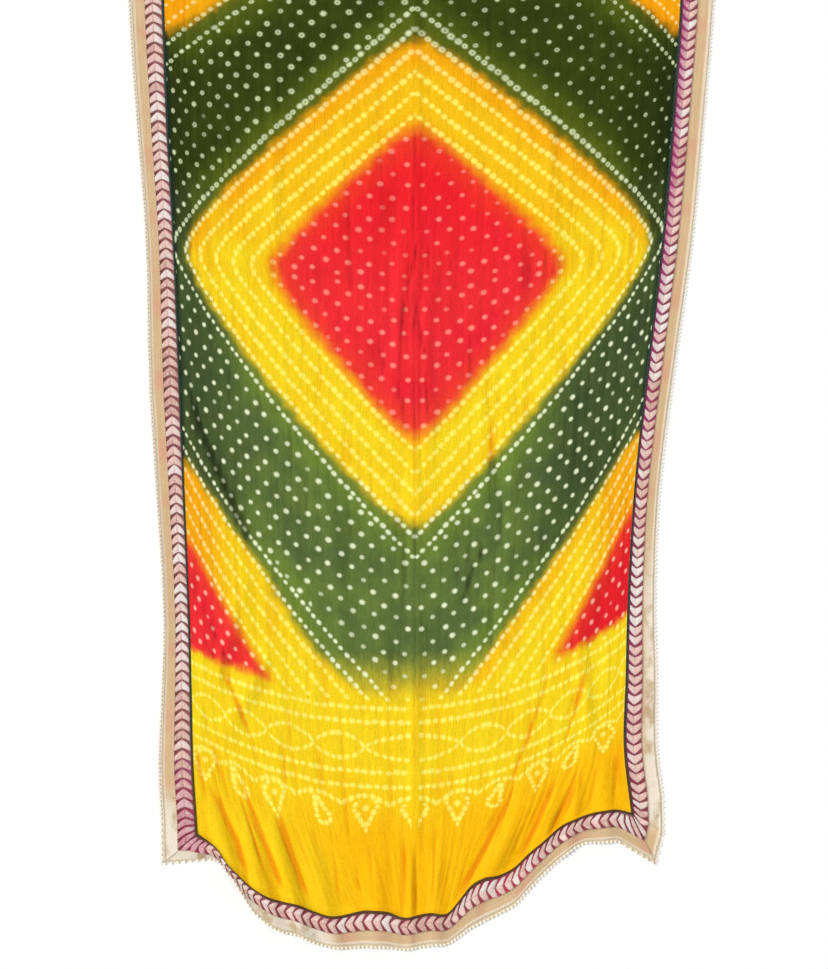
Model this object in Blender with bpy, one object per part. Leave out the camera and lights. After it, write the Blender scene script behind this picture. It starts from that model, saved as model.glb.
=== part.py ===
"""Dupatta stole: a long crinkled tie-dye cloth laid out flat, edged all round with trim.

Frame: metres, +Z up, +Y along the cloth towards its far end, +X across it to the right.
The origin is the middle of the whole stole's box, on the surface that it lies on.

Pieces, from the middle outwards: the cloth panel, and on each of its four sides a corded
piping, a gota lace of folded metallic leaves, a gold tissue ribbon and a picot edge.
The strips butt together side by side and meet in a mitre at each corner.
"""
from collections import namedtuple

import bmesh
import bpy
import numpy as np

# ---------------------------------------------------------------- driving sizes, metres
HALF_LENGTH = 1.050        # middle of the cloth to either hem, along the centre line
SAG_POWER = 1.4            # shape of the curve that a cross thread lies in
HEM_REACH = 0.250          # how far into the cloth the waves of a hem are felt
FAR_TRIM = 0.058           # width of the trim on the far hem
FAR_WAVE = 0.006           # height of the far hem's waves, in the plane of the cloth
FAR_WAVES = 4.5            # number of them

CLOTH = 0.0012             # wall of the cloth panel
SEAM = 0.0003              # clearance between two pieces at a seam
CREASE_START = 0.35        # share of a fold that keeps its full height

# Shares of the trim's width, from the cloth outwards, and the thickness of each strip.
Strip = namedtuple("Strip", "name inner outer thickness")
STRIPS = [
    Strip("piping", 0.000, 0.065, 0.0026),
    Strip("gota_lace", 0.065, 0.520, 0.0018),
    Strip("tissue_ribbon", 0.520, 0.870, 0.0010),
    Strip("picot_edge", 0.870, 1.000, 0.0022),
]
LEAF_PITCH = 0.0165        # one folded leaf of the lace along its strip
LEAF_RISE = 0.0010         # how far a leaf's fold stands up
LEAF_POINT = 0.0070        # how far the point of a leaf lies ahead of its ends
LEAF_SETTLE = 3.0          # leaves over which the points flatten out towards a mitre

# Grid of the cloth: equal columns across, and rows in three zones, close at the hems.
COLUMNS = 60
Zone = namedtuple("Zone", "start end rows")
ZONES = [
    Zone(-1.000, -0.640, 13),
    Zone(-0.640, 0.740, 14),
    Zone(0.740, 1.000, 7),
]

# Cross-sections, millimetres. "along" is measured on the centre line. "x" is where the
# cloth's edge lies, "sag" how far that edge lies nearer the far end than the centre does,
# and "trim" the width that the four strips take beyond it. "spread" is the hundredths by
# which threads at the centre lie wider apart than even; below 0 they are gathered there.
Section = namedtuple(
    "Section", "along left_x left_sag left_trim right_x right_sag right_trim spread")
SECTIONS = [
    Section(-1050, -360, 138, 62, 358, 174, 68, -35),
    Section(-928, -367, 124, 61, 346, 156, 66, 8),
    Section(-796, -370, 111, 53, 349, 139, 54, 20),
    Section(-663, -373, 101, 46, 352, 128, 48, 20),
    Section(-456, -381, 88, 49, 363, 110, 44, 20),
    Section(-232, -389, 75, 55, 385, 94, 48, 20),
    Section(0, -398, 60, 50, 410, 76, 51, 20),
    Section(232, -409, 35, 55, 428, 56, 53, 20),
    Section(457, -416, 13, 62, 441, 40, 57, 16),
    Section(750, -419, 6, 60, 443, 22, 58, 8),
    Section(1050, -420, 0, 58, 442, 10, 58, 0),
]

# The near hem, millimetres: where it lies across and along, and its trim's width.
Hem = namedtuple("Hem", "across along trim")
NEAR_HEM = [
    Hem(-360, -913, 40), Hem(-342, -926, 30), Hem(-327, -939, 20), Hem(-312, -961, 15),
    Hem(-293, -981, 20), Hem(-277, -997, 36), Hem(-254, -1012, 46), Hem(-222, -1025, 53),
    Hem(-194, -1030, 55), Hem(-172, -1040, 55), Hem(-139, -1049, 52), Hem(-76, -1040, 56),
    Hem(-48, -1042, 60), Hem(-18, -1052, 54), Hem(0, -1049, 55), Hem(27, -1044, 55),
    Hem(55, -1044, 52), Hem(76, -1020, 60), Hem(90, -1002, 65), Hem(113, -986, 70),
    Hem(141, -981, 63), Hem(167, -967, 65), Hem(186, -948, 61), Hem(214, -924, 53),
    Hem(249, -896, 51), Hem(275, -885, 48), Hem(305, -876, 55), Hem(335, -873, 56),
    Hem(358, -878, 56),
]

# Points of the four mitres, millimetres outwards from the cloth's own corners.
Mitre = namedtuple("Mitre", "across along")
MITRES = {
    ("left", "near"): Mitre(-63, -53),
    ("right", "near"): Mitre(43, -90),
    ("left", "far"): Mitre(-58, 58),
    ("right", "far"): Mitre(58, 58),
}

# Folds, millimetres: a soft ridge from its high end (x, y) to the end where it dies out.
Fold = namedtuple("Fold", "x y end_x end_y height half_width")
FOLDS = [
    # fanning up from the near hem
    Fold(-307, -959, -348, -840, 7, 20), Fold(-249, -1010, -298, -856, 9, 24),
    Fold(-199, -1029, -250, -864, 9, 22), Fold(-144, -1045, -186, -893, 7, 22),
    Fold(-62, -1042, -66, -920, 6, 26), Fold(-8, -1048, -8, -900, 6, 13),
    Fold(36, -1042, 36, -915, 6, 22), Fold(121, -983, 197, -830, 9, 26),
    Fold(209, -920, 245, -826, 7, 22), Fold(262, -886, 274, -800, 6, 18),
    Fold(315, -873, 307, -760, 6, 24),
    # creases that run down the cloth, with the sharp one that it was folded on
    Fold(0, -900, 0, 1000, 3, 17), Fold(-30, -110, -12, 190, 4, 20),
    Fold(22, -260, 14, 70, 4, 20), Fold(-258, -640, -330, -780, 5, 26),
    Fold(-300, -560, -345, -700, 4, 20), Fold(272, -600, 300, -860, 4, 20),
    Fold(-120, -560, -150, -300, 3, 20), Fold(150, -480, 175, -180, 3, 20),
    Fold(230, 80, 215, 380, 3, 22), Fold(-235, 150, -225, 420, 3, 22),
    # fanning in from the far hem
    Fold(-330, 1050, -300, 900, 6, 24), Fold(-215, 1050, -240, 870, 7, 24),
    Fold(-90, 1050, -70, 900, 5, 22), Fold(60, 1050, 85, 880, 6, 24),
    Fold(200, 1050, 190, 860, 7, 26), Fold(345, 1050, 320, 920, 6, 22),
]
MM = 0.001


# ---------------------------------------------------------------- the cloth as a surface
def flow(at, knots, values):
    """Values at places between knots: a cubic whose slope at a knot is its neighbours'."""
    knots = np.asarray(knots, float)
    values = np.asarray(values, float)
    slopes = np.gradient(values, knots)
    left = np.clip(np.searchsorted(knots, at, side="right") - 1, 0, len(knots) - 2)
    width = knots[left + 1] - knots[left]
    part = np.clip((at - knots[left]) / width, 0.0, 1.0)
    rest = 1.0 - part
    start = (1.0 + 2.0 * part) * rest ** 2
    end = part ** 2 * (3.0 - 2.0 * part)
    bend = width * (part * rest ** 2 * slopes[left] - part ** 2 * rest * slopes[left + 1])
    return start * values[left] + end * values[left + 1] + bend


def column(rows, name):
    """One named column of a table, in metres."""
    return MM * np.array([getattr(row, name) for row in rows], float)


def section(along, name):
    """A named size of the cross-section at a distance along the centre line."""
    return flow(along, column(SECTIONS, "along"), column(SECTIONS, name))


def near_hem(across, name):
    """The near hem's place along the cloth, or its trim, at a place across it."""
    return flow(across, column(NEAR_HEM, "across"), column(NEAR_HEM, name))


def lie(across, along):
    """Where a thread of the cloth lies: across and along run from -1 to 1 over the cloth.

    A cross thread is spread or gathered at its centre, and its ends sag towards the far
    end. Near a hem it takes up more and more of that hem's waves.
    """
    side = np.where(across < 0, -1.0, 1.0)
    reach = np.abs(across)
    middle = along * HALF_LENGTH
    edge = np.where(side < 0, -section(middle, "left_x"), section(middle, "right_x"))
    sag = np.where(side < 0, section(middle, "left_sag"), section(middle, "right_sag"))
    spread = section(middle, "spread") / (100 * MM)
    x = side * edge * reach * (1.0 + spread * (1.0 - reach ** 2))
    y = middle + sag * reach ** SAG_POWER

    near_edge = np.where(side < 0, section(-HALF_LENGTH, "left_sag"),
                         section(-HALF_LENGTH, "right_sag"))
    near_line = -HALF_LENGTH + near_edge * reach ** SAG_POWER
    to_near = np.clip(1.0 - (middle + HALF_LENGTH) / HEM_REACH, 0.0, 1.0) ** 2
    to_far = np.clip(1.0 - (HALF_LENGTH - middle) / HEM_REACH, 0.0, 1.0) ** 2
    y = y + to_near * (near_hem(x, "along") - near_line)
    y = y + to_far * FAR_WAVE * np.cos(np.pi * FAR_WAVES * across)
    return x, y


def rise(x, y):
    """Height of the cloth's underside: the tallest of the soft ridges that cross there."""
    height = np.zeros(np.broadcast(x, y).shape)
    for fold in FOLDS:
        start = MM * np.array([fold.x, fold.y])
        run = MM * np.array([fold.end_x, fold.end_y]) - start
        length = np.hypot(*run)
        part = ((x - start[0]) * run[0] + (y - start[1]) * run[1]) / length ** 2
        aside = ((x - start[0]) * run[1] - (y - start[1]) * run[0]) / length
        faded = np.clip((part - CREASE_START) / (1.0 - CREASE_START), 0.0, 1.0)
        swell = np.cos(0.5 * np.pi * np.clip(np.abs(aside) / (MM * fold.half_width), 0.0, 1.0))
        behind = np.clip(1.0 + part * length / 0.10, 0.0, 1.0)
        ridge = MM * fold.height * swell ** 2 * np.cos(0.5 * np.pi * faded) ** 2 * behind
        height = np.maximum(height, ridge)
    return height


def rows_along():
    """Places of the cloth's rows, from -1 at the near hem to 1 at the far one."""
    zones = [np.linspace(z.start, z.end, z.rows + 1)[:-1] for z in ZONES]
    return np.append(np.concatenate(zones), ZONES[-1].end)


def columns_across():
    """Places of the cloth's columns, from -1 at the left edge to 1 at the right one."""
    return np.linspace(-1.0, 1.0, COLUMNS + 1)


def trim_edges(side):
    """Inner and outer lines of the trim on one side of the cloth, station by station.

    The first and last stations are the corners, whose outer points are the mitres'. In
    between, a side's trim runs straight across and a hem's straight along the cloth.
    """
    if side in ("left", "right"):
        end = -1.0 if side == "left" else 1.0
        along = rows_along()
        x, y = lie(np.full(along.shape, end), along)
        width = end * section(along * HALF_LENGTH, side + "_trim")
        outward = np.stack([width, np.zeros(width.shape)], axis=1)
        corners = [(side, "near"), (side, "far")]
    else:
        across = columns_across()
        x, y = lie(across, np.full(across.shape, -1.0 if side == "near" else 1.0))
        width = -near_hem(x, "trim") if side == "near" else np.full(x.shape, FAR_TRIM)
        outward = np.stack([np.zeros(width.shape), width], axis=1)
        corners = [("left", side), ("right", side)]
    inner = np.stack([x, y], axis=1)
    for station, corner in zip((0, -1), corners):
        outward[station] = MM * np.array([MITRES[corner].across, MITRES[corner].along])
    return inner, inner + outward


def placed_on_origin():
    """Middle of the whole stole's box, which every piece is moved back by."""
    outer = np.concatenate([trim_edges(side)[1] for side in ("left", "right", "near", "far")])
    return 0.5 * (outer.min(axis=0) + outer.max(axis=0))


# ---------------------------------------------------------------- meshes
def solid(name, points, faces, material):
    """A named closed body from points and faces, turned outwards and set on the origin."""
    middle = placed_on_origin()
    points = np.asarray(points) - np.array([middle[0], middle[1], 0.0])
    mesh = bpy.data.meshes.new(name)
    mesh.from_pydata(points.tolist(), [], faces)
    body = bmesh.new()
    body.from_mesh(mesh)
    bmesh.ops.recalc_face_normals(body, faces=body.faces)
    body.to_mesh(mesh)
    body.free()
    mesh.materials.append(material)
    piece = bpy.data.objects.new(name, mesh)
    bpy.context.scene.collection.objects.link(piece)
    return piece


def grid_faces(index):
    """Two triangles for each cell of a grid of point numbers, all cut the same way."""
    a, b = index[:-1, :-1].ravel(), index[1:, :-1].ravel()
    c, d = index[1:, 1:].ravel(), index[:-1, 1:].ravel()
    return np.concatenate([np.stack([a, b, c], 1), np.stack([a, c, d], 1)]).tolist()


def wall(plan, thickness, turn=0):
    """Points and faces of a wall of one thickness on a grid of (x, y) places.

    From row number "turn" on, the cells are cut along their other diagonal, so that the
    cuts run with folds that fan out to both sides.
    """
    low = rise(plan[..., 0], plan[..., 1])
    under = np.dstack([plan, low])
    over = np.dstack([plan, low + thickness])
    count = low.size
    index = np.arange(count).reshape(low.shape)
    faces = []
    for skin in (index, index + count):
        faces += grid_faces(skin[:turn + 1]) + grid_faces(skin[turn:, ::-1])
    for rim in (index[0], index[-1], index[:, 0], index[:, -1]):
        faces += grid_faces(np.stack([rim, rim + count]))
    return np.concatenate([under.reshape(-1, 3), over.reshape(-1, 3)]), faces


def drawn_back(inner, outer, strip):
    """The four-cornered plan of one strip, with half a seam's clearance on every edge."""
    way = outer - inner
    width = np.linalg.norm(way, axis=1, keepdims=True)
    low = inner + way * strip.inner + way / width * SEAM / 2
    high = inner + way * strip.outer - way / width * SEAM / 2
    plan = np.stack([low, high], axis=1)
    for end, following in ((0, 1), (-1, -2)):
        run = plan[following] - plan[end]
        plan[end] += run / np.linalg.norm(run, axis=1, keepdims=True) * SEAM / 2
    return plan


def on_facets(corners, station, share):
    """Points on the strip's own flat triangles, at stations along and shares across it."""
    left = np.clip(np.floor(station).astype(int), 0, len(corners) - 2)
    part = (station - left)[..., None]
    share = share[..., None]
    a, b = corners[left, 0], corners[left + 1, 0]
    c, d = corners[left, 1], corners[left + 1, 1]
    ahead = a + part * (b - a) + share * (d - b)
    behind = a + share * (c - a) + part * (d - c)
    return np.where(part >= share, ahead, behind)


def leaf_stations(corners, forward):
    """Stations of the leaf folds on each edge of a lace, two to a leaf, and on its middle.

    The middle runs ahead of the edges by the length of a leaf's point, and less and less
    towards the two mitres. Each step between two stations of the strip holds a whole
    number of half leaves.
    """
    steps = np.linalg.norm(np.diff(corners.mean(axis=1), axis=0), axis=1)
    counts = np.maximum(1, np.round(2.0 * steps / LEAF_PITCH)).astype(int)
    pieces = [i + np.arange(n) / n for i, n in enumerate(counts)]
    edge = np.append(np.concatenate(pieces), len(counts))
    number = np.arange(len(edge)) / 2.0
    settled = np.minimum(number, number[-1] - number) / LEAF_SETTLE
    travelled = np.interp(edge, np.arange(len(steps) + 1), np.append(0.0, np.cumsum(steps)))
    ahead = travelled + forward * LEAF_POINT * np.clip(settled, 0.0, 1.0)
    middle = np.interp(ahead, np.append(0.0, np.cumsum(steps)), np.arange(len(steps) + 1))
    return edge, middle, counts


def lace_mesh(plan, thickness, forward):
    """Points and faces of a lace strip: leaves in relief on top of a plain underside."""
    low = rise(plan[..., 0], plan[..., 1])
    corners = np.dstack([plan, low])
    edge, middle, counts = leaf_stations(corners, forward)
    stations = np.stack([edge, middle, edge], axis=1)
    shares = np.broadcast_to([0.0, 0.5, 1.0], stations.shape)
    top = on_facets(corners, stations, shares)
    crest = np.where(np.arange(len(edge)) % 2 == 1, LEAF_RISE, 0.0)
    top[..., 2] += thickness + crest[:, None]

    under = np.arange(corners.shape[0] * 2).reshape(-1, 2)
    over = under.size + np.arange(top.shape[0] * 3).reshape(-1, 3)
    faces = grid_faces(under) + grid_faces(over[:, ::-1])
    for rim in (0, 1):
        first = 0
        for i, count in enumerate(counts):
            fine = over[first:first + count + 1, 2 * rim]
            near, far = under[i, rim], under[i + 1, rim]
            half = count // 2
            faces += [[near, fine[k], fine[k + 1]] for k in range(half)]
            faces += [[far, fine[k], fine[k + 1]] for k in range(half, count)]
            faces.append([near, fine[half], far])
            first += count
    for end in (0, -1):
        a, b = under[end]
        p, q, r = over[end]
        faces += [[a, b, r], [a, r, q], [a, q, p]]
    points = np.concatenate([corners.reshape(-1, 3), top.reshape(-1, 3)])
    return points, [[int(i) for i in face] for face in faces]


# ---------------------------------------------------------------- materials
def finish(name, colour, roughness, metallic):
    """A plain Principled material."""
    material = bpy.data.materials.new(name)
    material.use_nodes = True
    shader = material.node_tree.nodes["Principled BSDF"]
    shader.inputs["Base Color"].default_value = (*colour, 1.0)
    shader.inputs["Roughness"].default_value = roughness
    shader.inputs["Metallic"].default_value = metallic
    material.diffuse_color = (*colour, 1.0)
    return material


# ---------------------------------------------------------------- pieces
def body_panel():
    """The cloth itself, one width of it, stopping half a seam short of its trim."""
    across, along = np.meshgrid(columns_across(), rows_along(), indexing="ij")
    x, y = lie(across, along)
    plan = np.dstack([x, y])
    plan[0, :, 0] += SEAM / 2
    plan[-1, :, 0] -= SEAM / 2
    plan[:, 0, 1] += SEAM / 2
    plan[:, -1, 1] -= SEAM / 2
    points, faces = wall(plan, CLOTH, turn=COLUMNS // 2)
    return solid("body_panel", points, faces,
                 finish("crinkled_silk", (0.90, 0.62, 0.06), 0.55, 0.0))


def trim():
    """The four strips on each side. The lace's leaves point clockwise round the cloth."""
    colours = {
        "piping": finish("piping_cord", (0.05, 0.07, 0.04), 0.7, 0.0),
        "gota_lace": finish("gota_lace", (0.85, 0.62, 0.58), 0.35, 0.6),
        "tissue_ribbon": finish("gold_tissue", (0.72, 0.54, 0.32), 0.4, 0.4),
        "picot_edge": finish("picot_beads", (0.90, 0.86, 0.76), 0.4, 0.0),
    }
    forward = {"left": 1.0, "far": 1.0, "right": -1.0, "near": -1.0}
    for side in forward:
        inner, outer = trim_edges(side)
        for strip in STRIPS:
            plan = drawn_back(inner, outer, strip)
            if strip.name == "gota_lace":
                points, faces = lace_mesh(plan, strip.thickness, forward[side])
            else:
                points, faces = wall(plan, strip.thickness)
            solid(f"{strip.name}_{side}", points, faces, colours[strip.name])


def main():
    for old in list(bpy.data.objects):
        bpy.data.objects.remove(old, do_unlink=True)
    body_panel()
    trim()


main()
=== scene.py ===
# %% [markdown]
# # A crinkled tie-dye stole with gota lace
#
# A dupatta is one width of thin cloth, a little over two metres long. This one was tied
# into knots, dyed yellow, red and green in turn, twisted wet so that it dried in long
# crinkles, and edged with four strips of trim: a dark piping, a gota lace of folded
# metallic leaves, a gold tissue ribbon and a picot edge of small beads.
#
# The solids of the stole are already packed. Everything below is built around them, in
# the same frame and in metres, so nothing has to be fitted afterwards.

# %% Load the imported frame
from collections import namedtuple

import bpy
import numpy as np
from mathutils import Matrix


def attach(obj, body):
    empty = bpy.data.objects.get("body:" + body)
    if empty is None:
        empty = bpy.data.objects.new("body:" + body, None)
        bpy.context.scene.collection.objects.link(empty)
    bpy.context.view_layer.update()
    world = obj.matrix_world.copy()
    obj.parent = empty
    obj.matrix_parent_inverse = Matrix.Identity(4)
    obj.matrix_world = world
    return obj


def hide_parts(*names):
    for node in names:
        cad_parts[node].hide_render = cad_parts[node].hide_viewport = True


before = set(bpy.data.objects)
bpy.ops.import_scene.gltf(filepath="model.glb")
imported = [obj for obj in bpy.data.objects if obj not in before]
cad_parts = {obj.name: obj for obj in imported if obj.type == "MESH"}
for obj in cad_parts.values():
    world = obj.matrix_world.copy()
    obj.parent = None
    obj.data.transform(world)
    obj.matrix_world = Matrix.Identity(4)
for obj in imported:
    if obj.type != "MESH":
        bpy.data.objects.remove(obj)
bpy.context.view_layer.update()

MM = 0.001
print("solids in the frame:", len(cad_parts))

# %% [markdown]
# ## The camera, the light and the floor
#
# The stole lies flat, so the camera hangs over it and looks straight down. A long lens
# from high up keeps the two sides parallel. Cloth shows its crinkles only when light
# grazes it, so a broad low sun comes in from the left, and the white sky fills the rest.
# The colours of dyed cloth are strong, and the Standard view keeps them as they are.

# %% Camera
LENS = 100.0               # millimetres
SENSOR = 36.0              # millimetres, along the picture's height
VIEW_HEIGHT = 1.607        # metres of floor from the picture's bottom to its top
VIEW_MIDDLE = (-0.0122, -0.3416)

camera_data = bpy.data.cameras.new("overhead")
camera_data.lens = LENS
camera_data.sensor_fit = "VERTICAL"
camera_data.sensor_height = SENSOR
camera = bpy.data.objects.new("overhead", camera_data)
camera.location = (*VIEW_MIDDLE, VIEW_HEIGHT * LENS / SENSOR)
bpy.context.scene.collection.objects.link(camera)
bpy.context.scene.camera = camera
print("camera height, m:", round(camera.location.z, 2))

# %% Light
SKY = 0.66                 # brightness of the white sky
SUN = 1.9                  # strength of the low sun
SUN_SPREAD = 0.30          # how broad it is, radians, so that shadows are soft
SUN_TURN = (0.0, -0.88, -0.35)   # from straight down, swung to the left and a little back

world = bpy.data.worlds.new("white_room")
world.use_nodes = True
background = world.node_tree.nodes["Background"]
background.inputs["Color"].default_value = (1.0, 1.0, 1.0, 1.0)
background.inputs["Strength"].default_value = SKY
bpy.context.scene.world = world
sun_data = bpy.data.lights.new("low_sun", "SUN")
sun_data.energy = SUN
sun_data.angle = SUN_SPREAD
sun = bpy.data.objects.new("low_sun", sun_data)
sun.rotation_euler = SUN_TURN
bpy.context.scene.collection.objects.link(sun)
bpy.context.scene.view_settings.view_transform = "Standard"
print("lights: the sky and", sun.name)

# %% [markdown]
# ## Numbers that travel through a material
#
# A tie-dye print is a picture made by rules: rows of dots beside a diamond, a wave, a
# hanging drop. In Blender such rules are written with nodes, and a formula takes dozens
# of Math nodes. The small class below lets a formula be typed as one: adding or
# multiplying two `Wire`s puts the Math node into the tree and returns its output.

# %% A wire, and how a node is put in
def arithmetic(operation):
    """Two methods that put a Math node between a wire and what stands on its other side."""
    return (lambda self, other: worked(operation, self, other),
            lambda self, other: worked(operation, other, self))


class Wire:
    """A number or colour on its way through a node tree. Arithmetic on it adds Math nodes."""

    __add__, __radd__ = arithmetic("ADD")
    __sub__, __rsub__ = arithmetic("SUBTRACT")
    __mul__, __rmul__ = arithmetic("MULTIPLY")
    __truediv__, __rtruediv__ = arithmetic("DIVIDE")

    def __init__(self, socket):
        self.socket = socket

    def __abs__(self):
        return worked("ABSOLUTE", self)


def shade(code):
    """A colour written as #rrggbb, as the linear numbers that shaders work with."""
    parts = [int(code[i:i + 2], 16) / 255.0 for i in (1, 3, 5)]
    return tuple(p / 12.92 if p <= 0.04045 else ((p + 0.055) / 1.055) ** 2.4 for p in parts)


def plug(slot, value):
    """Puts a wire, a number or a colour written as #rrggbb into one input."""
    if isinstance(value, Wire):
        slot.id_data.links.new(value.socket, slot)
    elif isinstance(value, str):
        slot.default_value = (*shade(value), 1.0)
    else:
        slot.default_value = value


def put_in(kind, inputs, **settings):
    """Puts a node into the tree that the wires among its inputs belong to, and returns the
    wires that come out of it."""
    tree = next(value.socket.id_data for value in inputs.values() if isinstance(value, Wire))
    node = tree.nodes.new("ShaderNode" + kind)
    for name, setting in settings.items():
        setattr(node, name, setting)
    for slot, value in inputs.items():
        plug(node.inputs[slot], value)
    return [Wire(output) for output in node.outputs]


print("mid grey #808080 in linear numbers:", round(shade("#808080")[0], 3))


# %% What can be done with wires
def worked(operation, *values):
    """The result of one Math node."""
    return put_in("Math", dict(enumerate(values)), operation=operation)[0]


def lowest(first, *others):
    """The smallest of several wires."""
    for other in others:
        first = worked("MINIMUM", first, other)
    return first


def highest(first, other):
    """The larger of two wires."""
    return worked("MAXIMUM", first, other)


def over(value, limit):
    """1 where a value is above a limit, else 0."""
    return worked("GREATER_THAN", value, limit)


def soft_step(value, start, end):
    """0 before start and 1 after end, with an S-shaped slope between them."""
    return put_in("MapRange", {"Value": value, "From Min": start, "From Max": end},
                  interpolation_type="SMOOTHSTEP")[0]


def rounded(value, radius):
    """A distance with no sharp corner at zero: the root of value squared plus radius squared."""
    return worked("SQRT", worked("MULTIPLY_ADD", value, value, radius * radius))


def length_of(a, b):
    """Length of the step (a, b)."""
    return worked("SQRT", worked("MULTIPLY_ADD", a, a, b * b))


def ribbed(place, pitch):
    """A wave from 0 to 1, whose ribs lie `pitch` apart."""
    return worked("SINE", place * (2 * np.pi / pitch)) * 0.5 + 0.5


def pair(a, b):
    """Two numbers as one vector."""
    return put_in("CombineXYZ", {"X": a, "Y": b})[0]


def cloudy(place, scale, detail=1.0):
    """Soft random patches, 0 to 1, whose size is one over the scale."""
    return put_in("TexNoise", {"Vector": place, "Scale": scale, "Detail": detail},
                  noise_dimensions="2D")[0]


def dice(i, j):
    """Three random numbers, 0 to 1, that belong to the pair of whole numbers (i, j)."""
    colour = put_in("TexWhiteNoise", {"Vector": pair(i, j)}, noise_dimensions="2D")[1]
    return put_in("SeparateColor", {"Color": colour})


def tinted(share, first, second):
    """The first colour, going over to the second as share goes from 0 to 1."""
    return put_in("Mix", {0: share, 6: first, 7: second}, data_type="RGBA")[2]


# %% A new material, and what it reads
def new_material(name, roughness, metallic=0.0, sheen=0.0, specular=0.5):
    """A material with a Principled shader whose plain numbers are already set."""
    material = bpy.data.materials.new(name)
    material.use_nodes = True
    shader = material.node_tree.nodes["Principled BSDF"]
    settings = {"Roughness": roughness, "Metallic": metallic, "Sheen Weight": sheen,
                "Specular IOR Level": specular}
    for socket, value in settings.items():
        shader.inputs[socket].default_value = value
    return material, shader


def uv_of(shader):
    """The piece's own UV map: metres along and across its cloth, as a vector and two wires."""
    node = shader.id_data.nodes.new("ShaderNodeUVMap")
    node.uv_map = "cloth"
    place = Wire(node.outputs["UV"])
    return (place, *put_in("SeparateXYZ", {"Vector": place})[:2])


def place_of(shader):
    """Where on the table a point is: x and y in metres, as two wires."""
    node = shader.id_data.nodes.new("ShaderNodeTexCoord")
    return put_in("SeparateXYZ", {"Vector": Wire(node.outputs["Object"])})[:2]


def number_on(shader, name):
    """A number that the mesh carries on its points."""
    node = shader.id_data.nodes.new("ShaderNodeAttribute")
    node.attribute_name = name
    return Wire(node.outputs["Fac"])


def finished(material, shader, colour, height=None, distance=0.0):
    """The material with its colour plugged in, and relief that is `distance` metres deep
    where `height` goes from 0 to 1."""
    plug(shader.inputs["Base Color"], colour)
    if height:
        normal = put_in("Bump", {"Distance": distance, "Height": height})[0]
        plug(shader.inputs["Normal"], normal)
    return material


# %% The floor
FLOOR_SIZE = 14.0          # metres from its middle to each side
FLOOR_DROP = 0.0004        # how far below the cloth it lies, metres


def floor_under(size, drop):
    """A square of plain pale floor, `drop` below the cloth."""
    square = ((-1, -1), (1, -1), (1, 1), (-1, 1))
    corners = [(x * size, y * size, -drop) for x, y in square]
    mesh = bpy.data.meshes.new("floor")
    mesh.from_pydata(corners, [], [(0, 1, 2, 3)])
    material, shader = new_material("pale_floor", 0.9, specular=0.1)
    shader.inputs["Base Color"].default_value = (0.96, 0.96, 0.955, 1.0)
    mesh.materials.append(material)
    floor = bpy.data.objects.new("floor", mesh)
    bpy.context.scene.collection.objects.link(floor)
    return floor


floor = floor_under(FLOOR_SIZE, FLOOR_DROP)
print("floor, m:", tuple(floor.dimensions[:2]))

# %% [markdown]
# ## The cloth as a surface
#
# The whole cloth is one function of two numbers: how far across and how far along a point
# is, each from -1 to 1. `lie` says where that point rests on the table, and `rise` how
# high a fold lifts it there. The sizes are the same as the solids', in a short table of
# cross-sections, one of the near hem and one of the folds. Only the trim is up to 8 mm
# wider along the near hem, and 9 mm narrower at the right corner, than on the solids.

# %% Tables of the cloth
HALF_LENGTH = 1.050        # middle of the cloth to either hem, metres
HALF_PRINT = 0.398         # middle of the print to its side, metres
SAG_POWER = 1.4            # shape of the curve that a cross thread lies in
HEM_REACH = 0.250          # how far into the cloth the waves of a hem are felt, metres
FAR_TRIM = 0.058           # width of the trim on the far hem, metres
FAR_WAVE = 0.006           # height of the far hem's waves, metres, and how many there are
FAR_WAVES = 4.5
CREASE_START = 0.35        # share of a fold that keeps its full height
FOLD_TAIL = 0.10           # how far a fold runs on, fading, before its high end, metres

# All in millimetres, but for spread, which is in hundredths. A section's x is where the
# cloth's edge lies, and its sag how far that lies nearer the far end than the middle does.
Section = namedtuple(
    "Section", "along left_x left_sag left_trim right_x right_sag right_trim spread")
SECTIONS = [Section(*row) for row in (
    (-1050, -360, 138, 62, 358, 174, 59, -35), (-928, -367, 124, 61, 346, 156, 58, 8),
    (-796, -370, 111, 53, 349, 139, 54, 20), (-663, -373, 101, 46, 352, 128, 48, 20),
    (-456, -381, 88, 49, 363, 110, 44, 20), (-232, -389, 75, 55, 385, 94, 48, 20),
    (0, -398, 60, 50, 410, 76, 51, 20), (232, -409, 35, 55, 428, 56, 53, 20),
    (457, -416, 13, 62, 441, 40, 57, 16), (750, -419, 6, 60, 443, 22, 58, 8),
    (1050, -420, 0, 58, 442, 10, 58, 0),
)]
Hem = namedtuple("Hem", "across along trim")
NEAR_HEM = [Hem(*row) for row in (
    (-360, -913, 40), (-342, -926, 30), (-327, -939, 20), (-312, -961, 15), (-293, -981, 20),
    (-277, -997, 36), (-254, -1012, 46), (-222, -1025, 53), (-194, -1030, 55), (-172, -1040, 55),
    (-139, -1049, 55), (-76, -1040, 64), (-48, -1042, 63), (-18, -1052, 56), (0, -1049, 57),
    (27, -1044, 57), (55, -1044, 54), (76, -1020, 65), (90, -1002, 73), (113, -986, 77),
    (141, -981, 67), (167, -967, 66), (186, -948, 64), (214, -924, 58), (249, -896, 56),
    (275, -885, 48), (305, -876, 55), (335, -873, 56), (358, -878, 56),
)]
Mitre = namedtuple("Mitre", "across along")   # step to the trim's corner from the cloth's
ELBOW = Mitre(57, -38)     # the right trim's edge turns here on its way to the near corner
MITRES = {
    ("left", "near"): Mitre(-63, -53),
    ("right", "near"): Mitre(43, -90),
    ("left", "far"): Mitre(-58, 58),
    ("right", "far"): Mitre(58, 58),
}
Fold = namedtuple("Fold", "x y end_x end_y height half_width")
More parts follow.
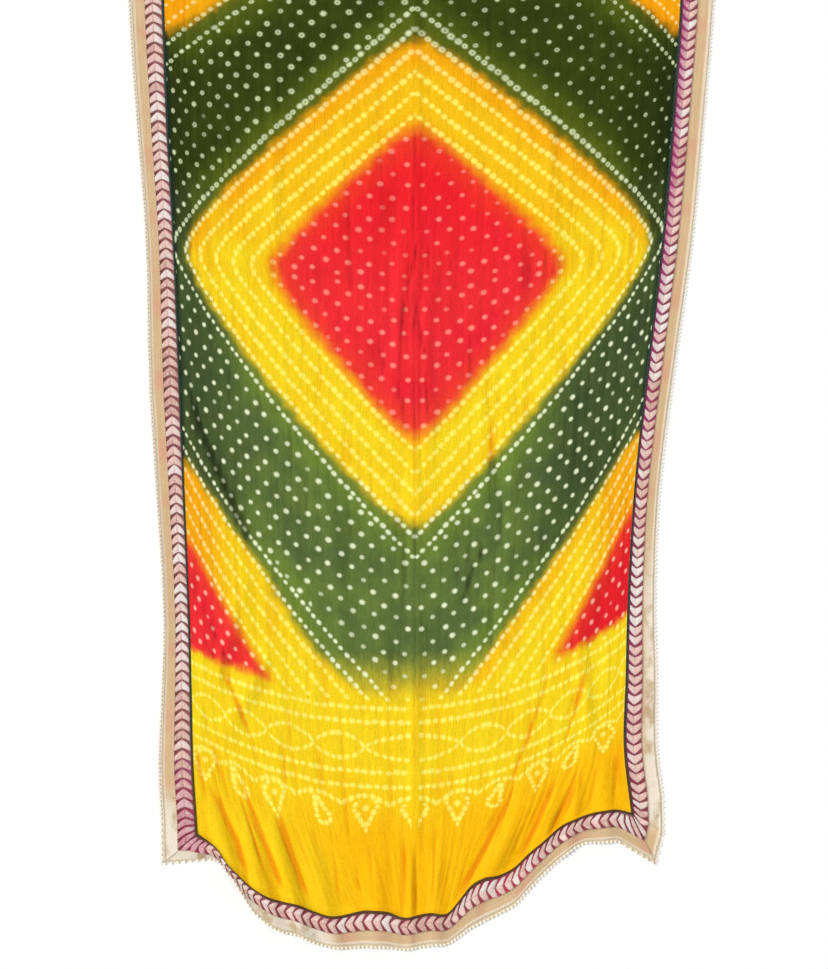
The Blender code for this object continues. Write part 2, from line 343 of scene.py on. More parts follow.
FOLDS = [Fold(*row) for row in (
    (-307, -959, -348, -840, 7, 20), (-249, -1010, -298, -856, 9, 24),
    (-199, -1029, -250, -864, 9, 22), (-144, -1045, -186, -893, 7, 22),
    (-62, -1042, -66, -920, 6, 26), (-8, -1048, -8, -900, 6, 13), (36, -1042, 36, -915, 6, 22),
    (121, -983, 197, -830, 9, 26), (209, -920, 245, -826, 7, 22), (262, -886, 274, -800, 6, 18),
    (315, -873, 307, -760, 6, 24), (0, -900, 0, 1000, 3, 17), (-30, -110, -12, 190, 4, 20),
    (22, -260, 14, 70, 4, 20), (-258, -640, -330, -780, 5, 26), (-300, -560, -345, -700, 4, 20),
    (272, -600, 300, -860, 4, 20), (-120, -560, -150, -300, 3, 20), (150, -480, 175, -180, 3, 20),
    (230, 80, 215, 380, 3, 22), (-235, 150, -225, 420, 3, 22), (-330, 1050, -300, 900, 6, 24),
    (-215, 1050, -240, 870, 7, 24), (-90, 1050, -70, 900, 5, 22), (60, 1050, 85, 880, 6, 24),
    (200, 1050, 190, 860, 7, 26), (345, 1050, 320, 920, 6, 22),
)]
print("sections:", len(SECTIONS), " hem points:", len(NEAR_HEM), " folds:", len(FOLDS))


# %% Where a thread lies, and how high a fold lifts it
def flow(at, knots, values):
    """Values at places between knots: a cubic whose slope at a knot is its neighbours'."""
    knots = np.asarray(knots, float)
    values = np.asarray(values, float)
    slopes = np.gradient(values, knots)
    left = np.clip(np.searchsorted(knots, at, side="right") - 1, 0, len(knots) - 2)
    width = knots[left + 1] - knots[left]
    part = np.clip((at - knots[left]) / width, 0.0, 1.0)
    rest = 1.0 - part
    start = (1.0 + 2.0 * part) * rest ** 2
    end = part ** 2 * (3.0 - 2.0 * part)
    bend = width * (part * rest ** 2 * slopes[left] - part ** 2 * rest * slopes[left + 1])
    return start * values[left] + end * values[left + 1] + bend


def column(rows, name):
    """One named column of a table, in metres."""
    return MM * np.array([getattr(row, name) for row in rows], float)


def section(along, name):
    """A named size of the cross-section at a distance along the centre line."""
    return flow(along, column(SECTIONS, "along"), column(SECTIONS, name))


def near_hem(across, name):
    """The near hem's place along the cloth, or its trim, at a place across it."""
    return flow(across, column(NEAR_HEM, "across"), column(NEAR_HEM, name))


def sided(across, along, name):
    """A size of the cross-section, from its left or its right column."""
    return np.where(across < 0, section(along, "left_" + name), section(along, "right_" + name))


def lie(across, along):
    """Where a thread lies: x = edge * reach * (1 + spread (1 - reach^2)) and
    y = middle + sag * reach^1.4, with the waves of the two hems added near them."""
    reach = np.abs(across)
    middle = along * HALF_LENGTH
    spread = section(middle, "spread") / (100 * MM)
    x = sided(across, middle, "x") * reach * (1.0 + spread * (1.0 - reach ** 2))
    y = middle + sided(across, middle, "sag") * reach ** SAG_POWER

    near_line = -HALF_LENGTH + sided(across, -HALF_LENGTH, "sag") * reach ** SAG_POWER
    to_near = np.clip(1.0 - (middle + HALF_LENGTH) / HEM_REACH, 0.0, 1.0) ** 2
    to_far = np.clip(1.0 - (HALF_LENGTH - middle) / HEM_REACH, 0.0, 1.0) ** 2
    y = y + to_near * (near_hem(x, "along") - near_line)
    y = y + to_far * FAR_WAVE * np.cos(np.pi * FAR_WAVES * across)
    return x, y


def beside_line(row, x, y):
    """Where a place lies beside a row's line: the share of its length passed, the distance
    from it in metres, and its length."""
    start = MM * np.array([row.x, row.y])
    run = MM * np.array([row.end_x, row.end_y]) - start
    length = np.hypot(*run)
    part = ((x - start[0]) * run[0] + (y - start[1]) * run[1]) / length ** 2
    aside = ((x - start[0]) * run[1] - (y - start[1]) * run[0]) / length
    return part, aside, length


def rise(x, y):
    """Height of the cloth's underside: the tallest of the soft ridges that cross there. A
    ridge is height * cos^2 across its width, faded out along its length."""
    height = np.zeros(np.broadcast(x, y).shape)
    for fold in FOLDS:
        part, aside, length = beside_line(fold, x, y)
        faded = np.clip((part - CREASE_START) / (1.0 - CREASE_START), 0.0, 1.0)
        swell = np.cos(0.5 * np.pi * np.clip(np.abs(aside) / (MM * fold.half_width), 0.0, 1.0))
        tail = np.clip(1.0 + part * length / FOLD_TAIL, 0.0, 1.0)
        ridge = MM * fold.height * swell ** 2 * np.cos(0.5 * np.pi * faded) ** 2 * tail
        height = np.maximum(height, ridge)
    return height


print("height of the tallest fold, mm:", round(float(rise(-0.249, -1.010)) / MM, 1))

# %% [markdown]
# ## The trim as a surface
#
# On each side the four strips share one band. A point of it is named by how far along the
# side it is and by its share of the band's width, 0 at the cloth and 1 at the outer edge.
# `SOLID_ROWS` and `SOLID_COLUMNS` are the stations of the solids: the band's width is
# kept at those and runs straight between them, so that the mitres meet at the corners.

# %% Stations of the band, and its outward steps
def stations(*zones):
    """Places from -1 to 1 in zones, each with its own start, end and number of points."""
    parts = [np.linspace(start, end, count)[:-1] for start, end, count in zones]
    return np.append(np.concatenate(parts), 1.0)


SOLID_COLUMNS = 60
SOLID_ROWS = stations((-1.0, -0.64, 14), (-0.64, 0.74, 15), (0.74, 1.0, 8))
SIDES = ("left", "right", "near", "far")
ENDS = {"left": -1.0, "right": 1.0, "near": -1.0, "far": 1.0}
FORWARD = {"left": 1.0, "far": 1.0, "right": -1.0, "near": -1.0}   # the way leaves point


def cloth_edge(side, place):
    """Points of the cloth's own edge on one side, at places from -1 to 1 along it."""
    end = np.full(np.shape(place), ENDS[side])
    return lie(end, place) if side in ("left", "right") else lie(place, end)


def band_steps(side):
    """Stations along one side, and the step from the cloth's edge to the band's at each."""
    if side in ("left", "right"):
        places = SOLID_ROWS
        width = ENDS[side] * section(places * HALF_LENGTH, side + "_trim")
        steps = np.stack([width, np.zeros(width.shape)], axis=1)
        corners = [(side, "near"), (side, "far")]
    else:
        places = np.linspace(-1.0, 1.0, SOLID_COLUMNS + 1)
        x = cloth_edge(side, places)[0]
        width = -near_hem(x, "trim") if side == "near" else np.full(x.shape, FAR_TRIM)
        steps = np.stack([np.zeros(width.shape), width], axis=1)
        corners = [("left", side), ("right", side)]
    for station, corner in zip((0, -1), corners):
        steps[station] = MM * np.array([MITRES[corner].across, MITRES[corner].along])
    if side == "right":
        places = np.insert(places, 1, -0.999)
        steps = np.insert(steps, 1, MM * np.array([ELBOW.across, ELBOW.along]), axis=0)
    return places, steps


def origin_shift():
    """Middle of the box round the whole band, which every piece is moved back by."""
    outer = []
    for side in SIDES:
        places, steps = band_steps(side)
        outer.append(np.stack(cloth_edge(side, places), axis=1) + steps)
    outer = np.concatenate(outer)
    return 0.5 * (outer.min(axis=0) + outer.max(axis=0))


SHIFT = origin_shift()


def band_point(side, place, share, lift):
    """A point of the band, `lift` above the surface that the cloth lies on or above a fold."""
    places, steps = band_steps(side)
    x, y = cloth_edge(side, place)
    x = x + share * np.interp(place, places, steps[:, 0])
    y = y + share * np.interp(place, places, steps[:, 1])
    return np.stack([x - SHIFT[0], y - SHIFT[1], rise(x, y) + lift], axis=-1)


def ruler(side, share, marks=3000):
    """Places along one side, and the length of the band's line at a share up to each."""
    places = np.linspace(-1.0, 1.0, marks)
    line = band_point(side, places, np.full(marks, share), 0.0)
    steps = np.linalg.norm(np.diff(line, axis=0), axis=1)
    return places, np.append(0.0, np.cumsum(steps))


RULERS = {side: ruler(side, 0.5) for side in SIDES}
for side in SIDES:
    print("trim on the", side, "side, mm:", round(RULERS[side][1][-1] / MM))


# %% Places on the band by length
WHOLE_TRIM, SLIVER = 0.044, 0.018   # widths of a trim that lies flat and of one folded away
STRIP_SHARES = (0.07, 0.52, 0.87, 1.0)   # starts of lace, ribbon and picot, and the rim
LACE_GROWS = (0.0, 0.34, 0.09, 0.0)      # how far these move out where the trim is crowded
RIBBON_GROWS = (0.0, 0.07, 0.01)         # and the last three of them on the right side


def crowding(side, place):
    """1 where the near hem's trim is folded to a sliver, so that lace alone shows, 0 elsewhere."""
    places, steps = band_steps(side)
    width = np.interp(place, places, np.abs(steps[:, 1]))
    return np.clip((WHOLE_TRIM - width) / (WHOLE_TRIM - SLIVER), 0.0, 1.0) * (side == "near")


def band_at(side, length, share, lift):
    """A point of the band at a length in metres along its middle line. Where the trim is
    crowded, the lace takes up some of the ribbon's share of it. The ribbon on the right
    is pulled wider, so that it takes up some of the picot's."""
    places, lengths = RULERS[side]
    place = np.interp(length, lengths, places)
    place, share, lift = np.broadcast_arrays(place, share, lift)
    lace_wider = np.interp(share, STRIP_SHARES, LACE_GROWS)
    ribbon_wider = np.interp(share, STRIP_SHARES[1:], RIBBON_GROWS) * (side == "right")
    ribbon_wider = ribbon_wider * np.interp(place, (-0.25, 0.0), (0.2, 1.0))
    share = share + crowding(side, place) * lace_wider + ribbon_wider
    return band_point(side, place, share, lift)


def band_spots(side, step):
    """Lengths every `step` or so along one side, from end to end, and how many steps."""
    total = RULERS[side][1][-1]
    count = int(round(total / step))
    return np.linspace(0.0, total, count + 1), count


def round_turns(count):
    """Angles of the points on a ring, once round."""
    return np.linspace(0.0, 2 * np.pi, count, endpoint=False)


print("narrowest near trim, mm:", round(float(np.abs(band_steps("near")[1][:, 1]).min()) / MM))

# %% [markdown]
# ## From points to pieces
#
# Every piece is a grid of points, or many copies of one small grid. Two skins with a rim
# make a closed wall, and rings with two caps make a closed tube. The signed volume of a
# closed mesh tells whether its faces point out: if it is negative, all of them are turned.


# %% Faces of a grid, and closed shapes from grids
def cells(index):
    """The four-cornered cells of a grid of point numbers."""
    corners = (index[:-1, :-1], index[1:, :-1], index[1:, 1:], index[:-1, 1:])
    return np.stack([corner.ravel() for corner in corners], axis=1)


def closed_wall(over_skin, under_skin):
    """Points and faces of a wall between two grids of the same size."""
    rows, columns = over_skin.shape[:2]
    index = np.arange(rows * columns).reshape(rows, columns)
    below = index + index.size
    faces = [cells(index), cells(below[:, ::-1])]
    for rim, turned in ((index[0], 0), (index[-1], 1), (index[:, 0], 1), (index[:, -1], 0)):
        edge = np.stack([rim, rim + index.size])
        faces.append(cells(edge[:, ::-1] if turned else edge))
    points = np.concatenate([over_skin.reshape(-1, 3), under_skin.reshape(-1, 3)])
    return points, np.concatenate(faces).tolist()


def closed_tubes(rings):
    """Points and faces of tubes: rings has the shape (tubes, rings, points round, 3)."""
    rings = rings.reshape(-1, *rings.shape[-3:])
    tubes, along, round_it = rings.shape[:3]
    index = np.arange(tubes * along * round_it).reshape(tubes, along, round_it)
    wrapped = np.concatenate([index, index[..., :1]], axis=2)
    quads = np.stack([wrapped[:, :-1, :-1], wrapped[:, 1:, :-1], wrapped[:, 1:, 1:],
                      wrapped[:, :-1, 1:]], axis=-1).reshape(-1, 4)
    caps = np.concatenate([index[:, 0], index[:, -1, ::-1]])
    return rings.reshape(-1, 3), quads.tolist() + caps.tolist()


# %% A piece from its grids
def signed_volume(mesh):
    """Volume of a closed mesh, which is below zero where its faces point inwards."""
    mesh.calc_loop_triangles()
    corners = np.empty(3 * len(mesh.loop_triangles), np.int32)
    mesh.loop_triangles.foreach_get("vertices", corners)
    points = np.empty(3 * len(mesh.vertices))
    mesh.vertices.foreach_get("co", points)
    a, b, c = points.reshape(-1, 3)[corners.reshape(-1, 3)].transpose(1, 0, 2)
    return float((a * np.cross(b, c)).sum()) / 6.0


def make_piece(name, grids, uv, material, slot, stands_for=None, **numbers):
    """A named piece: a wall from two grids, its skins, or tubes from one. It rides on the one
    body, in place of a solid if one is named. Its UV map and the numbers on its points are
    arrays that fit its first grid, and a wall's two skins share them."""
    points, faces = closed_wall(*grids) if len(grids) == 2 else closed_tubes(*grids)
    mesh = bpy.data.meshes.new(name)
    mesh.from_pydata(points.tolist(), [], faces)
    if signed_volume(mesh) < 0:
        mesh.flip_normals()

    def on_points(values):
        every = np.broadcast_to(values, grids[0].shape[:-1])
        return np.resize(every, len(points)).astype(np.float32)

    corner_points = np.empty(len(mesh.loops), np.int32)
    mesh.loops.foreach_get("vertex_index", corner_points)
    uv = np.stack([on_points(values)[corner_points] for values in uv], axis=-1)
    mesh.uv_layers.new(name="cloth").data.foreach_set("uv", uv.ravel())
    for label, values in numbers.items():
        layer = mesh.attributes.new(label, "FLOAT", "POINT")
        layer.data.foreach_set("value", on_points(values))
    mesh.shade_smooth()
    mesh.materials.append(material)
    piece = bpy.data.objects.new(name, mesh)
    bpy.context.scene.collection.objects.link(piece)
    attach(piece, "root")
    if stands_for:
        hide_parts(stands_for)
    return piece


def count_triangles(label, pieces):
    """Prints how many triangles some pieces have."""
    for piece in pieces:
        piece.data.calc_loop_triangles()
    print(label, "triangles:", sum(len(piece.data.loop_triangles) for piece in pieces))


# %% [markdown]
# ## Crinkles and creases
#
# Crinkled silk was wrung into a rope while wet, so its crinkles run lengthwise, 4 to 8 mm
# apart, and fade in and out. Random heights on a lattice that is stretched lengthwise look
# like that. The sharper creases are listed one by one, in millimetres, each a narrow trough
# along a slightly bowed line; more of the same kind are scattered over the rest.

# %% Random heights, and the crinkles made of them
def soft_random(u, v, seed):
    """Random heights, -1 to 1, on a lattice of unit cells, joined by smooth steps."""
    table = np.random.default_rng(seed).uniform(-1.0, 1.0, (128, 128))
    i, j = np.floor(u).astype(int), np.floor(v).astype(int)
    a, b = u - i, v - j
    a, b = a * a * (3.0 - 2.0 * a), b * b * (3.0 - 2.0 * b)
    low = table[i % 128, j % 128] * (1 - a) + table[(i + 1) % 128, j % 128] * a
    high = table[i % 128, (j + 1) % 128] * (1 - a) + table[(i + 1) % 128, (j + 1) % 128] * a
    return low * (1 - b) + high * b


Crinkle = namedtuple("Crinkle", "height width length seed")
CRINKLES = [Crinkle(0.00055, 0.0080, 0.120, 11), Crinkle(0.00040, 0.0047, 0.070, 12),
            Crinkle(0.00050, 0.0190, 0.060, 13)]
CRINKLE_DRIFT = 0.006      # how far a crinkle wanders sideways, metres
DRIFT_WIDTH, DRIFT_LENGTH = 0.055, 0.16    # size of the lattice of that drift, metres


def crinkles(u, v):
    """Height of the crinkles at metres across and along the cloth: random heights of
    three widths, whose lattice is pulled sideways by a slower random drift."""
    drift = CRINKLE_DRIFT * soft_random(u / DRIFT_WIDTH, v / DRIFT_LENGTH, 10)
    height = np.zeros(u.shape)
    for layer in CRINKLES:
        height += layer.height * soft_random((u + drift) / layer.width, v / layer.length,
                                             layer.seed)
    return height


# %% Listed creases, and scattered ones
Crease = namedtuple("Crease", "x y end_x end_y bow depth half_width")
CREASES = [Crease(*row) for row in (
    # the valleys between the folds of the near hem
    (-177, -1025, -229, -880, 0, 2.8, 6), (-221, -1004, -282, -846, 3, 2.8, 6),
    (-250, -999, -262, -966, 0, 1.5, 5), (-277, -981, -337, -838, 3, 2.8, 6),
    (-162, -943, -169, -901, 0, 1.5, 5), (-91, -1014, -101, -956, 0, 1.8, 5),
    (-18, -1047, -18, -923, 0, 2.0, 5), (2, -1047, 2, -923, 0, 2.0, 4),
    (75, -1011, 162, -836, 4, 2.8, 6), (167, -961, 232, -823, 3, 2.8, 6),
    (249, -881, 267, -832, 0, 2.0, 5), (275, -851, 276, -810, 0, 1.5, 5),
    # narrow ones between them
    (-252, -973, -292, -848, 2, 1.8, 3), (-224, -999, -279, -875, 3, 1.8, 3),
    (-179, -1017, -229, -893, 2, 1.9, 3), (-127, -1022, -139, -905, 0, 1.6, 3),
    (-345, -862, -362, -775, 0, 1.6, 4), (-70, -1030, -75, -925, 0, 1.3, 3),
    (-312, -905, -338, -798, 2, 1.6, 3), (30, -1030, 34, -900, 0, 1.6, 3),
    (78, -996, 123, -920, 2, 1.9, 3), (128, -941, 167, -812, 3, 1.7, 3),
    (186, -906, 217, -833, 2, 1.8, 3), (225, -906, 275, -793, 3, 1.8, 3),
    (289, -870, 302, -793, 0, 1.6, 3), (262, -704, 290, -628, 0, 1.9, 4),
    (238, -760, 268, -660, 2, 1.5, 3), (330, -860, 334, -780, 0, 1.4, 3),
    # long creases over the end of the print
    (303, -624, 240, -792, 6, 1.6, 4), (221, -649, 93, -956, -10, 1.8, 4),
    (-352, -591, -254, -807, -8, 1.8, 4), (-320, -624, -274, -749, 0, 1.4, 4),
    (-352, -690, -300, -880, 4, 1.4, 4), (-361, -520, -300, -650, 0, 1.6, 4),
    # beside the left trim, and down the near green
    (-381, -168, -274, -434, 6, 1.5, 7), (-393, -77, -332, -309, 4, 1.4, 6),
    (-366, -205, -292, -390, 4, 1.5, 4), (127, -415, 72, -548, 5, 2.0, 5),
    (104, -430, 60, -500, 3, 1.4, 3), (-340, -262, -262, -440, 5, 1.6, 8),
    # the crumpled middle, and the line that the cloth was folded on
    (-3, 160, -3, 72, 0, 1.9, 3), (5, 60, -14, -16, 2, 2.0, 3), (22, 66, 20, 0, -2, 1.8, 3),
    (-3, -20, -22, -48, 0, 1.9, 3), (-22, -46, -22, -150, 0, 1.7, 3), (0, -22, 22, -140, 2, 1.7, 3),
    (-10, -40, 4, -90, 0, 1.4, 3), (-60, -110, -48, -150, 0, 1.2, 3),
    (-30, -168, -8, -240, 3, 1.3, 3), (18, -150, 26, -235, 2, 1.2, 3), (0, 460, 0, -900, 0, 0.9, 3),
    (-390, 46, 400, 60, -58, 0.5, 4),
)]
SCATTERED = 90             # further creases over the whole cloth


def all_creases():
    """The listed creases and the scattered ones, which are long, faint and upright."""
    random = np.random.default_rng(21)
    x = random.uniform(-380, 400, SCATTERED)
    y = random.uniform(-880, 1030, SCATTERED)
    length = random.uniform(60, 230, SCATTERED)
    lean = random.normal(0.0, 0.06, SCATTERED)
    bow = random.normal(0.0, 3.0, SCATTERED)
    depth = random.uniform(0.3, 0.9, SCATTERED)
    width = random.uniform(2.5, 5.0, SCATTERED)
    scattered = zip(x, y, x + lean * length, y - length, bow, depth, width)
    return CREASES + [Crease(*numbers) for numbers in scattered]


def troughs(x, y):
    """Depth of the creases: depth * exp(-(aside / half_width)^2) along each bowed line,
    with a low lip on either side, faded at both ends."""
    total = np.zeros(x.shape)
    for crease in all_creases():
        part, aside, _ = beside_line(crease, x, y)
        aside = aside - MM * crease.bow * 4.0 * part * (1.0 - part)
        on_line = (part >= 0.0) & (part <= 1.0)
        ends = np.clip(np.minimum(part, 1.0 - part) * 4.0 + 0.25, 0.0, 1.0) * on_line
        near = (aside / (MM * crease.half_width)) ** 2
        total += MM * crease.depth * ends * (1.35 * np.exp(-near) - 0.35 * np.exp(-near / 4.0))
    return total


print("creases:", len(all_creases()))

# %% [markdown]
# ## The cloth panel
#
# The panel is a thin closed shell: an upper skin and an under skin half a millimetre
# apart. Its columns are 2 mm apart so that they can carry the crinkles, and its rows
# stand closer at the hems, where the folds fan out. Each point also keeps how deep it
# lies in a crease or a crinkle's hollow, and there its colour is darkened with painted shade.

# %% The panel's two skins
PANEL_COLUMNS = 424
CLOTH_THICKNESS = 0.0005
REST_HEIGHT = 0.0013       # middle height of the upper skin where the cloth lies flat
TOUCH = 0.0001             # how close the under skin comes to the table
CALM_SIDE, CALM_HEM = 0.03, 0.012   # shares of the cloth that its seams hold smooth
CREASE_SHADE_DEPTH, CRINKLE_SHADE_DEPTH = 0.002, 0.0016   # depths that take the full painted shade, metres


def panel_skins(across, along):
    """The two skins of the panel, and the painted shade of each point, set by how deep it lies in a
    crease or a crinkle's hollow.
    """
    x, y = lie(across, along)
    depth = troughs(x, y)
    small = crinkles(across * HALF_PRINT, along * HALF_LENGTH)
    edge = np.clip((1.0 - np.abs(across)) / CALM_SIDE, 0.0, 1.0)
    edge = edge * np.clip((1.0 - np.abs(along)) / CALM_HEM, 0.0, 1.0)
    height = rise(x, y) + REST_HEIGHT + edge * (small - depth)
    height = np.maximum(height, CLOTH_THICKNESS + TOUCH)
    top = np.stack([x - SHIFT[0], y - SHIFT[1], height], axis=-1)
    under = top - np.array([0.0, 0.0, CLOTH_THICKNESS])
    # painted shade in creases and crinkle hollows, and a touch of painted light on crinkle ridges
    valley = np.clip(depth / CREASE_SHADE_DEPTH - small / CRINKLE_SHADE_DEPTH, -1.0, 1.5)
    return top, under, valley


across, along = np.meshgrid(
    np.linspace(-1.0, 1.0, PANEL_COLUMNS),
    stations((-1.0, -0.62, 34), (-0.62, 0.78, 64), (0.78, 1.0, 14)), indexing="ij")
panel_top, panel_under, panel_valley = panel_skins(across, along)
print("panel grid:", panel_top.shape[:2], " highest point, mm:",
      round(float(panel_top[..., 2].max()) / MM, 1))

# %% [markdown]
# ## The tie-dye print
#
# Bandhani is made by pinching the cloth into tiny knots, which keep the colour that was
# there before the next dye bath. The cloth is folded first, so the print is the same on
# both sides of its middle, and so is the formula: it starts with the absolute values of
# the place across and along. The big diamonds are the places where the sum of those two
# distances stays below a limit; a second set has its middle on the cloth's side.

# %% Sizes of the print, millimetres
DIAMOND_SLANT = 1.09       # how much faster a diamond closes across than along
RED_SLANT = 1.25
RED_EDGE = 279.0           # a diamond's edge is named by how far along the cloth its tip is
YELLOW_EDGE = 438.0
RED_BLUNT = (25.0, 25.0)   # how blunt the dye's corners are, at the sides and at the tips
YELLOW_BLUNT = (42.0, 38.0)
ROW_BLUNT = (20.0, 3.0)
FIRST_ROW, ROW_STEP = 281.0, 35.5
LAST_ROW = 5.0
SIDE_PRINT = 398.0         # middle to side of the print
SIDE_DIAMOND = 760.0       # how far along the cloth the side diamonds have their middle
SIDE_START = 601.0         # the diamond level from which on a place belongs to those
FAR_SQUEEZE = 0.32         # how much flatter the far side diamond on the left is
FAR_SINK = 29.0            # how much nearer the middle the one on the right is
GREEN_RAN = 24.0           # how far the green ran over the rows at the near left
TILT = 38.0                # how far lower the near half's print runs, a metre to the left
BLEED = 22.0               # how unevenly the dye crept
ROW_DOTS, END_DOTS, WAVE_DOTS, SCALLOP_DOTS, DROP_DOTS = 12.8, 12.2, 12.4, 12.0, 10.4
FIELD_ACROSS, FIELD_ALONG = 16.2, 18.9
FIELD_START = (12.5, 9.5)  # the first dots' distances from the two folds of the cloth
END_START = 701.0
ROW_PAIRS = (730.0, 837.0)
HALF_PAIR = 12.0
WAVE_LINE, WAVE_HEIGHT, WAVE_LENS, MIDDLE_LENS = 784.0, 20.5, 80.0, 75.0
SCALLOP_LINE, SCALLOP_HEIGHT = 879.0, 14.0
DROP_PITCH, DROP_LINE, DROP_RADIUS, DROP_TIP = 77.0, 886.0, 19.0, 34.0
DROP_LEAN = 0.10
BUD_LINE, BUD_RADIUS, BUD_TIP, BUD_LEAN = 19.0, 11.0, 36.0, 0.27
GATHER_START = 231.0       # from here on the drops stand closer, counted from the middle
DROP_SLOPE = (0.42, 0.62)  # how fast the threads rise to the left and to the right side
ARCH_HEIGHT, ARCH_REACH = 13.0, 150.0
AWAY = 100.0               # a distance at which a dot can't be seen
LINE_DOT, FIELD_DOT = (6.2, 1.6), (6.1, 1.6)   # where a dot starts to show, and is full
DOT_CORE = (2.3, 0.9)      # the same for the fleck of dye in a dot's middle
MIDDLE_GAP = 5.5           # half the gap in the end's lines at the fold of the cloth


# %% Which diamond a place belongs to
def from_diamond(lower, flatter, x, v):
    """Distances across and along, in millimetres, from the middle of the nearest diamond:
    the one in the middle of the cloth, or one of those on its sides. Also whether it is
    one of those. The folds of the far half were askew: the side diamonds there are flatter
    on the left, and lower on the right."""
    beside = over(x * DIAMOND_SLANT + v, SIDE_START)
    near_x = abs(beside * SIDE_PRINT - x) * (1.0 - beside * flatter * FAR_SQUEEZE)
    return (near_x, abs(beside * (SIDE_DIAMOND - lower) - v)), beside


def diamond_level(near_x, near_v, slant, blunt):
    """Distance along plus slant times distance across, each without its sharp corner."""
    return rounded(near_v, blunt[0]) + rounded(near_x * slant, blunt[1])


# %% Dots along a line
def dotted(aside, along_it, step, seed, thread=4.4, first=-99.0):
    """How far the nearest dot of a dotted line is: dots stand `step` apart along it, from
    number `first` on, each a little out of place and a little larger or smaller. The thread
    that tied them leaves a faint line between them, `thread` millimetres fainter."""
    number = highest(worked("ROUND", along_it / step), first)
    slip, drift, size = dice(number, seed)
    run = along_it - number * step - (slip - 0.5) * (0.26 * step)
    off = aside - (drift - 0.5) * 2.0
    return lowest(length_of(run * 0.8, off) * (size * 0.30 + 0.88), abs(off) + thread)


# %% Dots over a field
STRAY = 6.0                # how far apart a field dot's two furthest places are
ROW_MARGINS = (15.0, 12.0)   # room kept inside the first row and outside the last
FOLD_MARGINS = (5.0, 4.0)  # room kept beside the two folds of the cloth


def field_dots(askew, last_beside, x, v):
    """How far the nearest dot of the field is, and how clear that dot came out. The dots
    stand in a brick pattern, which is a square lattice turned by an eighth, and each
    strays up to 3 mm. None has its middle between the diamonds' rows or past the start
    of the end."""
    a = (x - FIELD_START[0]) / (2 * FIELD_ACROSS)
    b = (v - FIELD_START[1]) / (2 * FIELD_ALONG)
    first, second = worked("ROUND", a + b), worked("ROUND", b - a)
    slip, drift, size = dice(first, second)
    up, down = a + b - first, b - a - second
    run, climb = (up - down) * FIELD_ACROSS, (up + down) * FIELD_ALONG
    middle_x, middle_v = x - run, v - climb
    strayed = length_of(run - (slip - 0.5) * STRAY, climb - (drift - 0.5) * STRAY)
    spans, beside = from_diamond(*askew, middle_x, middle_v)
    level = diamond_level(*spans, DIAMOND_SLANT, ROW_BLUNT)
    last = beside * (last_beside - LAST_ROW) + LAST_ROW
    among_rows = (over(level, FIRST_ROW - ROW_MARGINS[0])
                  * over(last * ROW_STEP + FIRST_ROW + ROW_MARGINS[1], level))
    missing = (among_rows + over(FOLD_MARGINS[0], middle_x) + over(FOLD_MARGINS[1], middle_v)
               + over(middle_v, END_START + 5))
    clear = 1.0 - highest(size - 0.70, 0.0) * 1.5
    return strayed * (size * 0.30 + 0.90) + missing * AWAY, clear


# %% Rows beside the diamonds
def diamond_rows(near_x, near_v, last, thread):
    """Dots in rows beside a diamond's edge, from row 0 to the last. Level grows outwards,
    and its slope turns a step in level into a distance on the cloth."""
    level = diamond_level(near_x, near_v, DIAMOND_SLANT, ROW_BLUNT)
    count = worked("ROUND", (level - FIRST_ROW) / ROW_STEP)
    row = worked("MINIMUM", highest(count, 0.0), last)
    pull = near_x * DIAMOND_SLANT ** 2 / rounded(near_x * DIAMOND_SLANT, ROW_BLUNT[1])
    slope = length_of(near_v / rounded(near_v, ROW_BLUNT[0]), pull)
    aside = (level - FIRST_ROW - row * ROW_STEP) / slope
    along_it = (near_x - near_v / DIAMOND_SLANT) * 0.74 + row * 4.7
    return dotted(aside, along_it, ROW_DOTS, row * 3.0 + 1.0, thread)


# %% Lines and waves at the end of the print
def end_lines(x, v):
    """Two pairs of dotted rows, and two dotted waves between them that cross each other."""
    found = []
    for number, line in enumerate(ROW_PAIRS):
        beside = v - line
        row = worked("SIGN", beside)
        found.append(dotted(abs(beside) - HALF_PAIR, x + row * 3.0, END_DOTS,
                            row + 20.0 + number * 5, 4.9, 1.0))
    turn = (worked("MINIMUM", x, MIDDLE_LENS) * (0.5 * np.pi / MIDDLE_LENS)
            + highest(x - MIDDLE_LENS, 0.0) * (np.pi / WAVE_LENS))
    wave = worked("POWER", abs(worked("COSINE", turn)), 0.7) * WAVE_HEIGHT
    side = worked("SIGN", v - WAVE_LINE)
    waves = dotted(abs(v - WAVE_LINE) - wave, x * 1.1, WAVE_DOTS, side + 40.0, 5.0, 1.0)
    return lowest(*found, waves)


# %% Scallops, drops and buds
def teardrop(aside, down, radius, tip):
    """Distance from the outline of a round cap over a cone that ends `tip` below the cap's
    middle, and how far along the outline a place is, from the cap's top."""
    half = abs(aside)
    flank = length_of(radius, tip)
    from_cone = (half * tip + down * radius - radius * tip) / flank
    down_cone = (down * tip - half * radius) / flank
    from_cap = length_of(half, down) - radius
    up_cap = worked("ARCTAN2", half, down * -1.0) * radius
    below = over(down, 0.0)
    outline = from_cap + below * (from_cone - from_cap)
    return outline, up_cap + below * (down_cone + radius * 2.16 - up_cap)


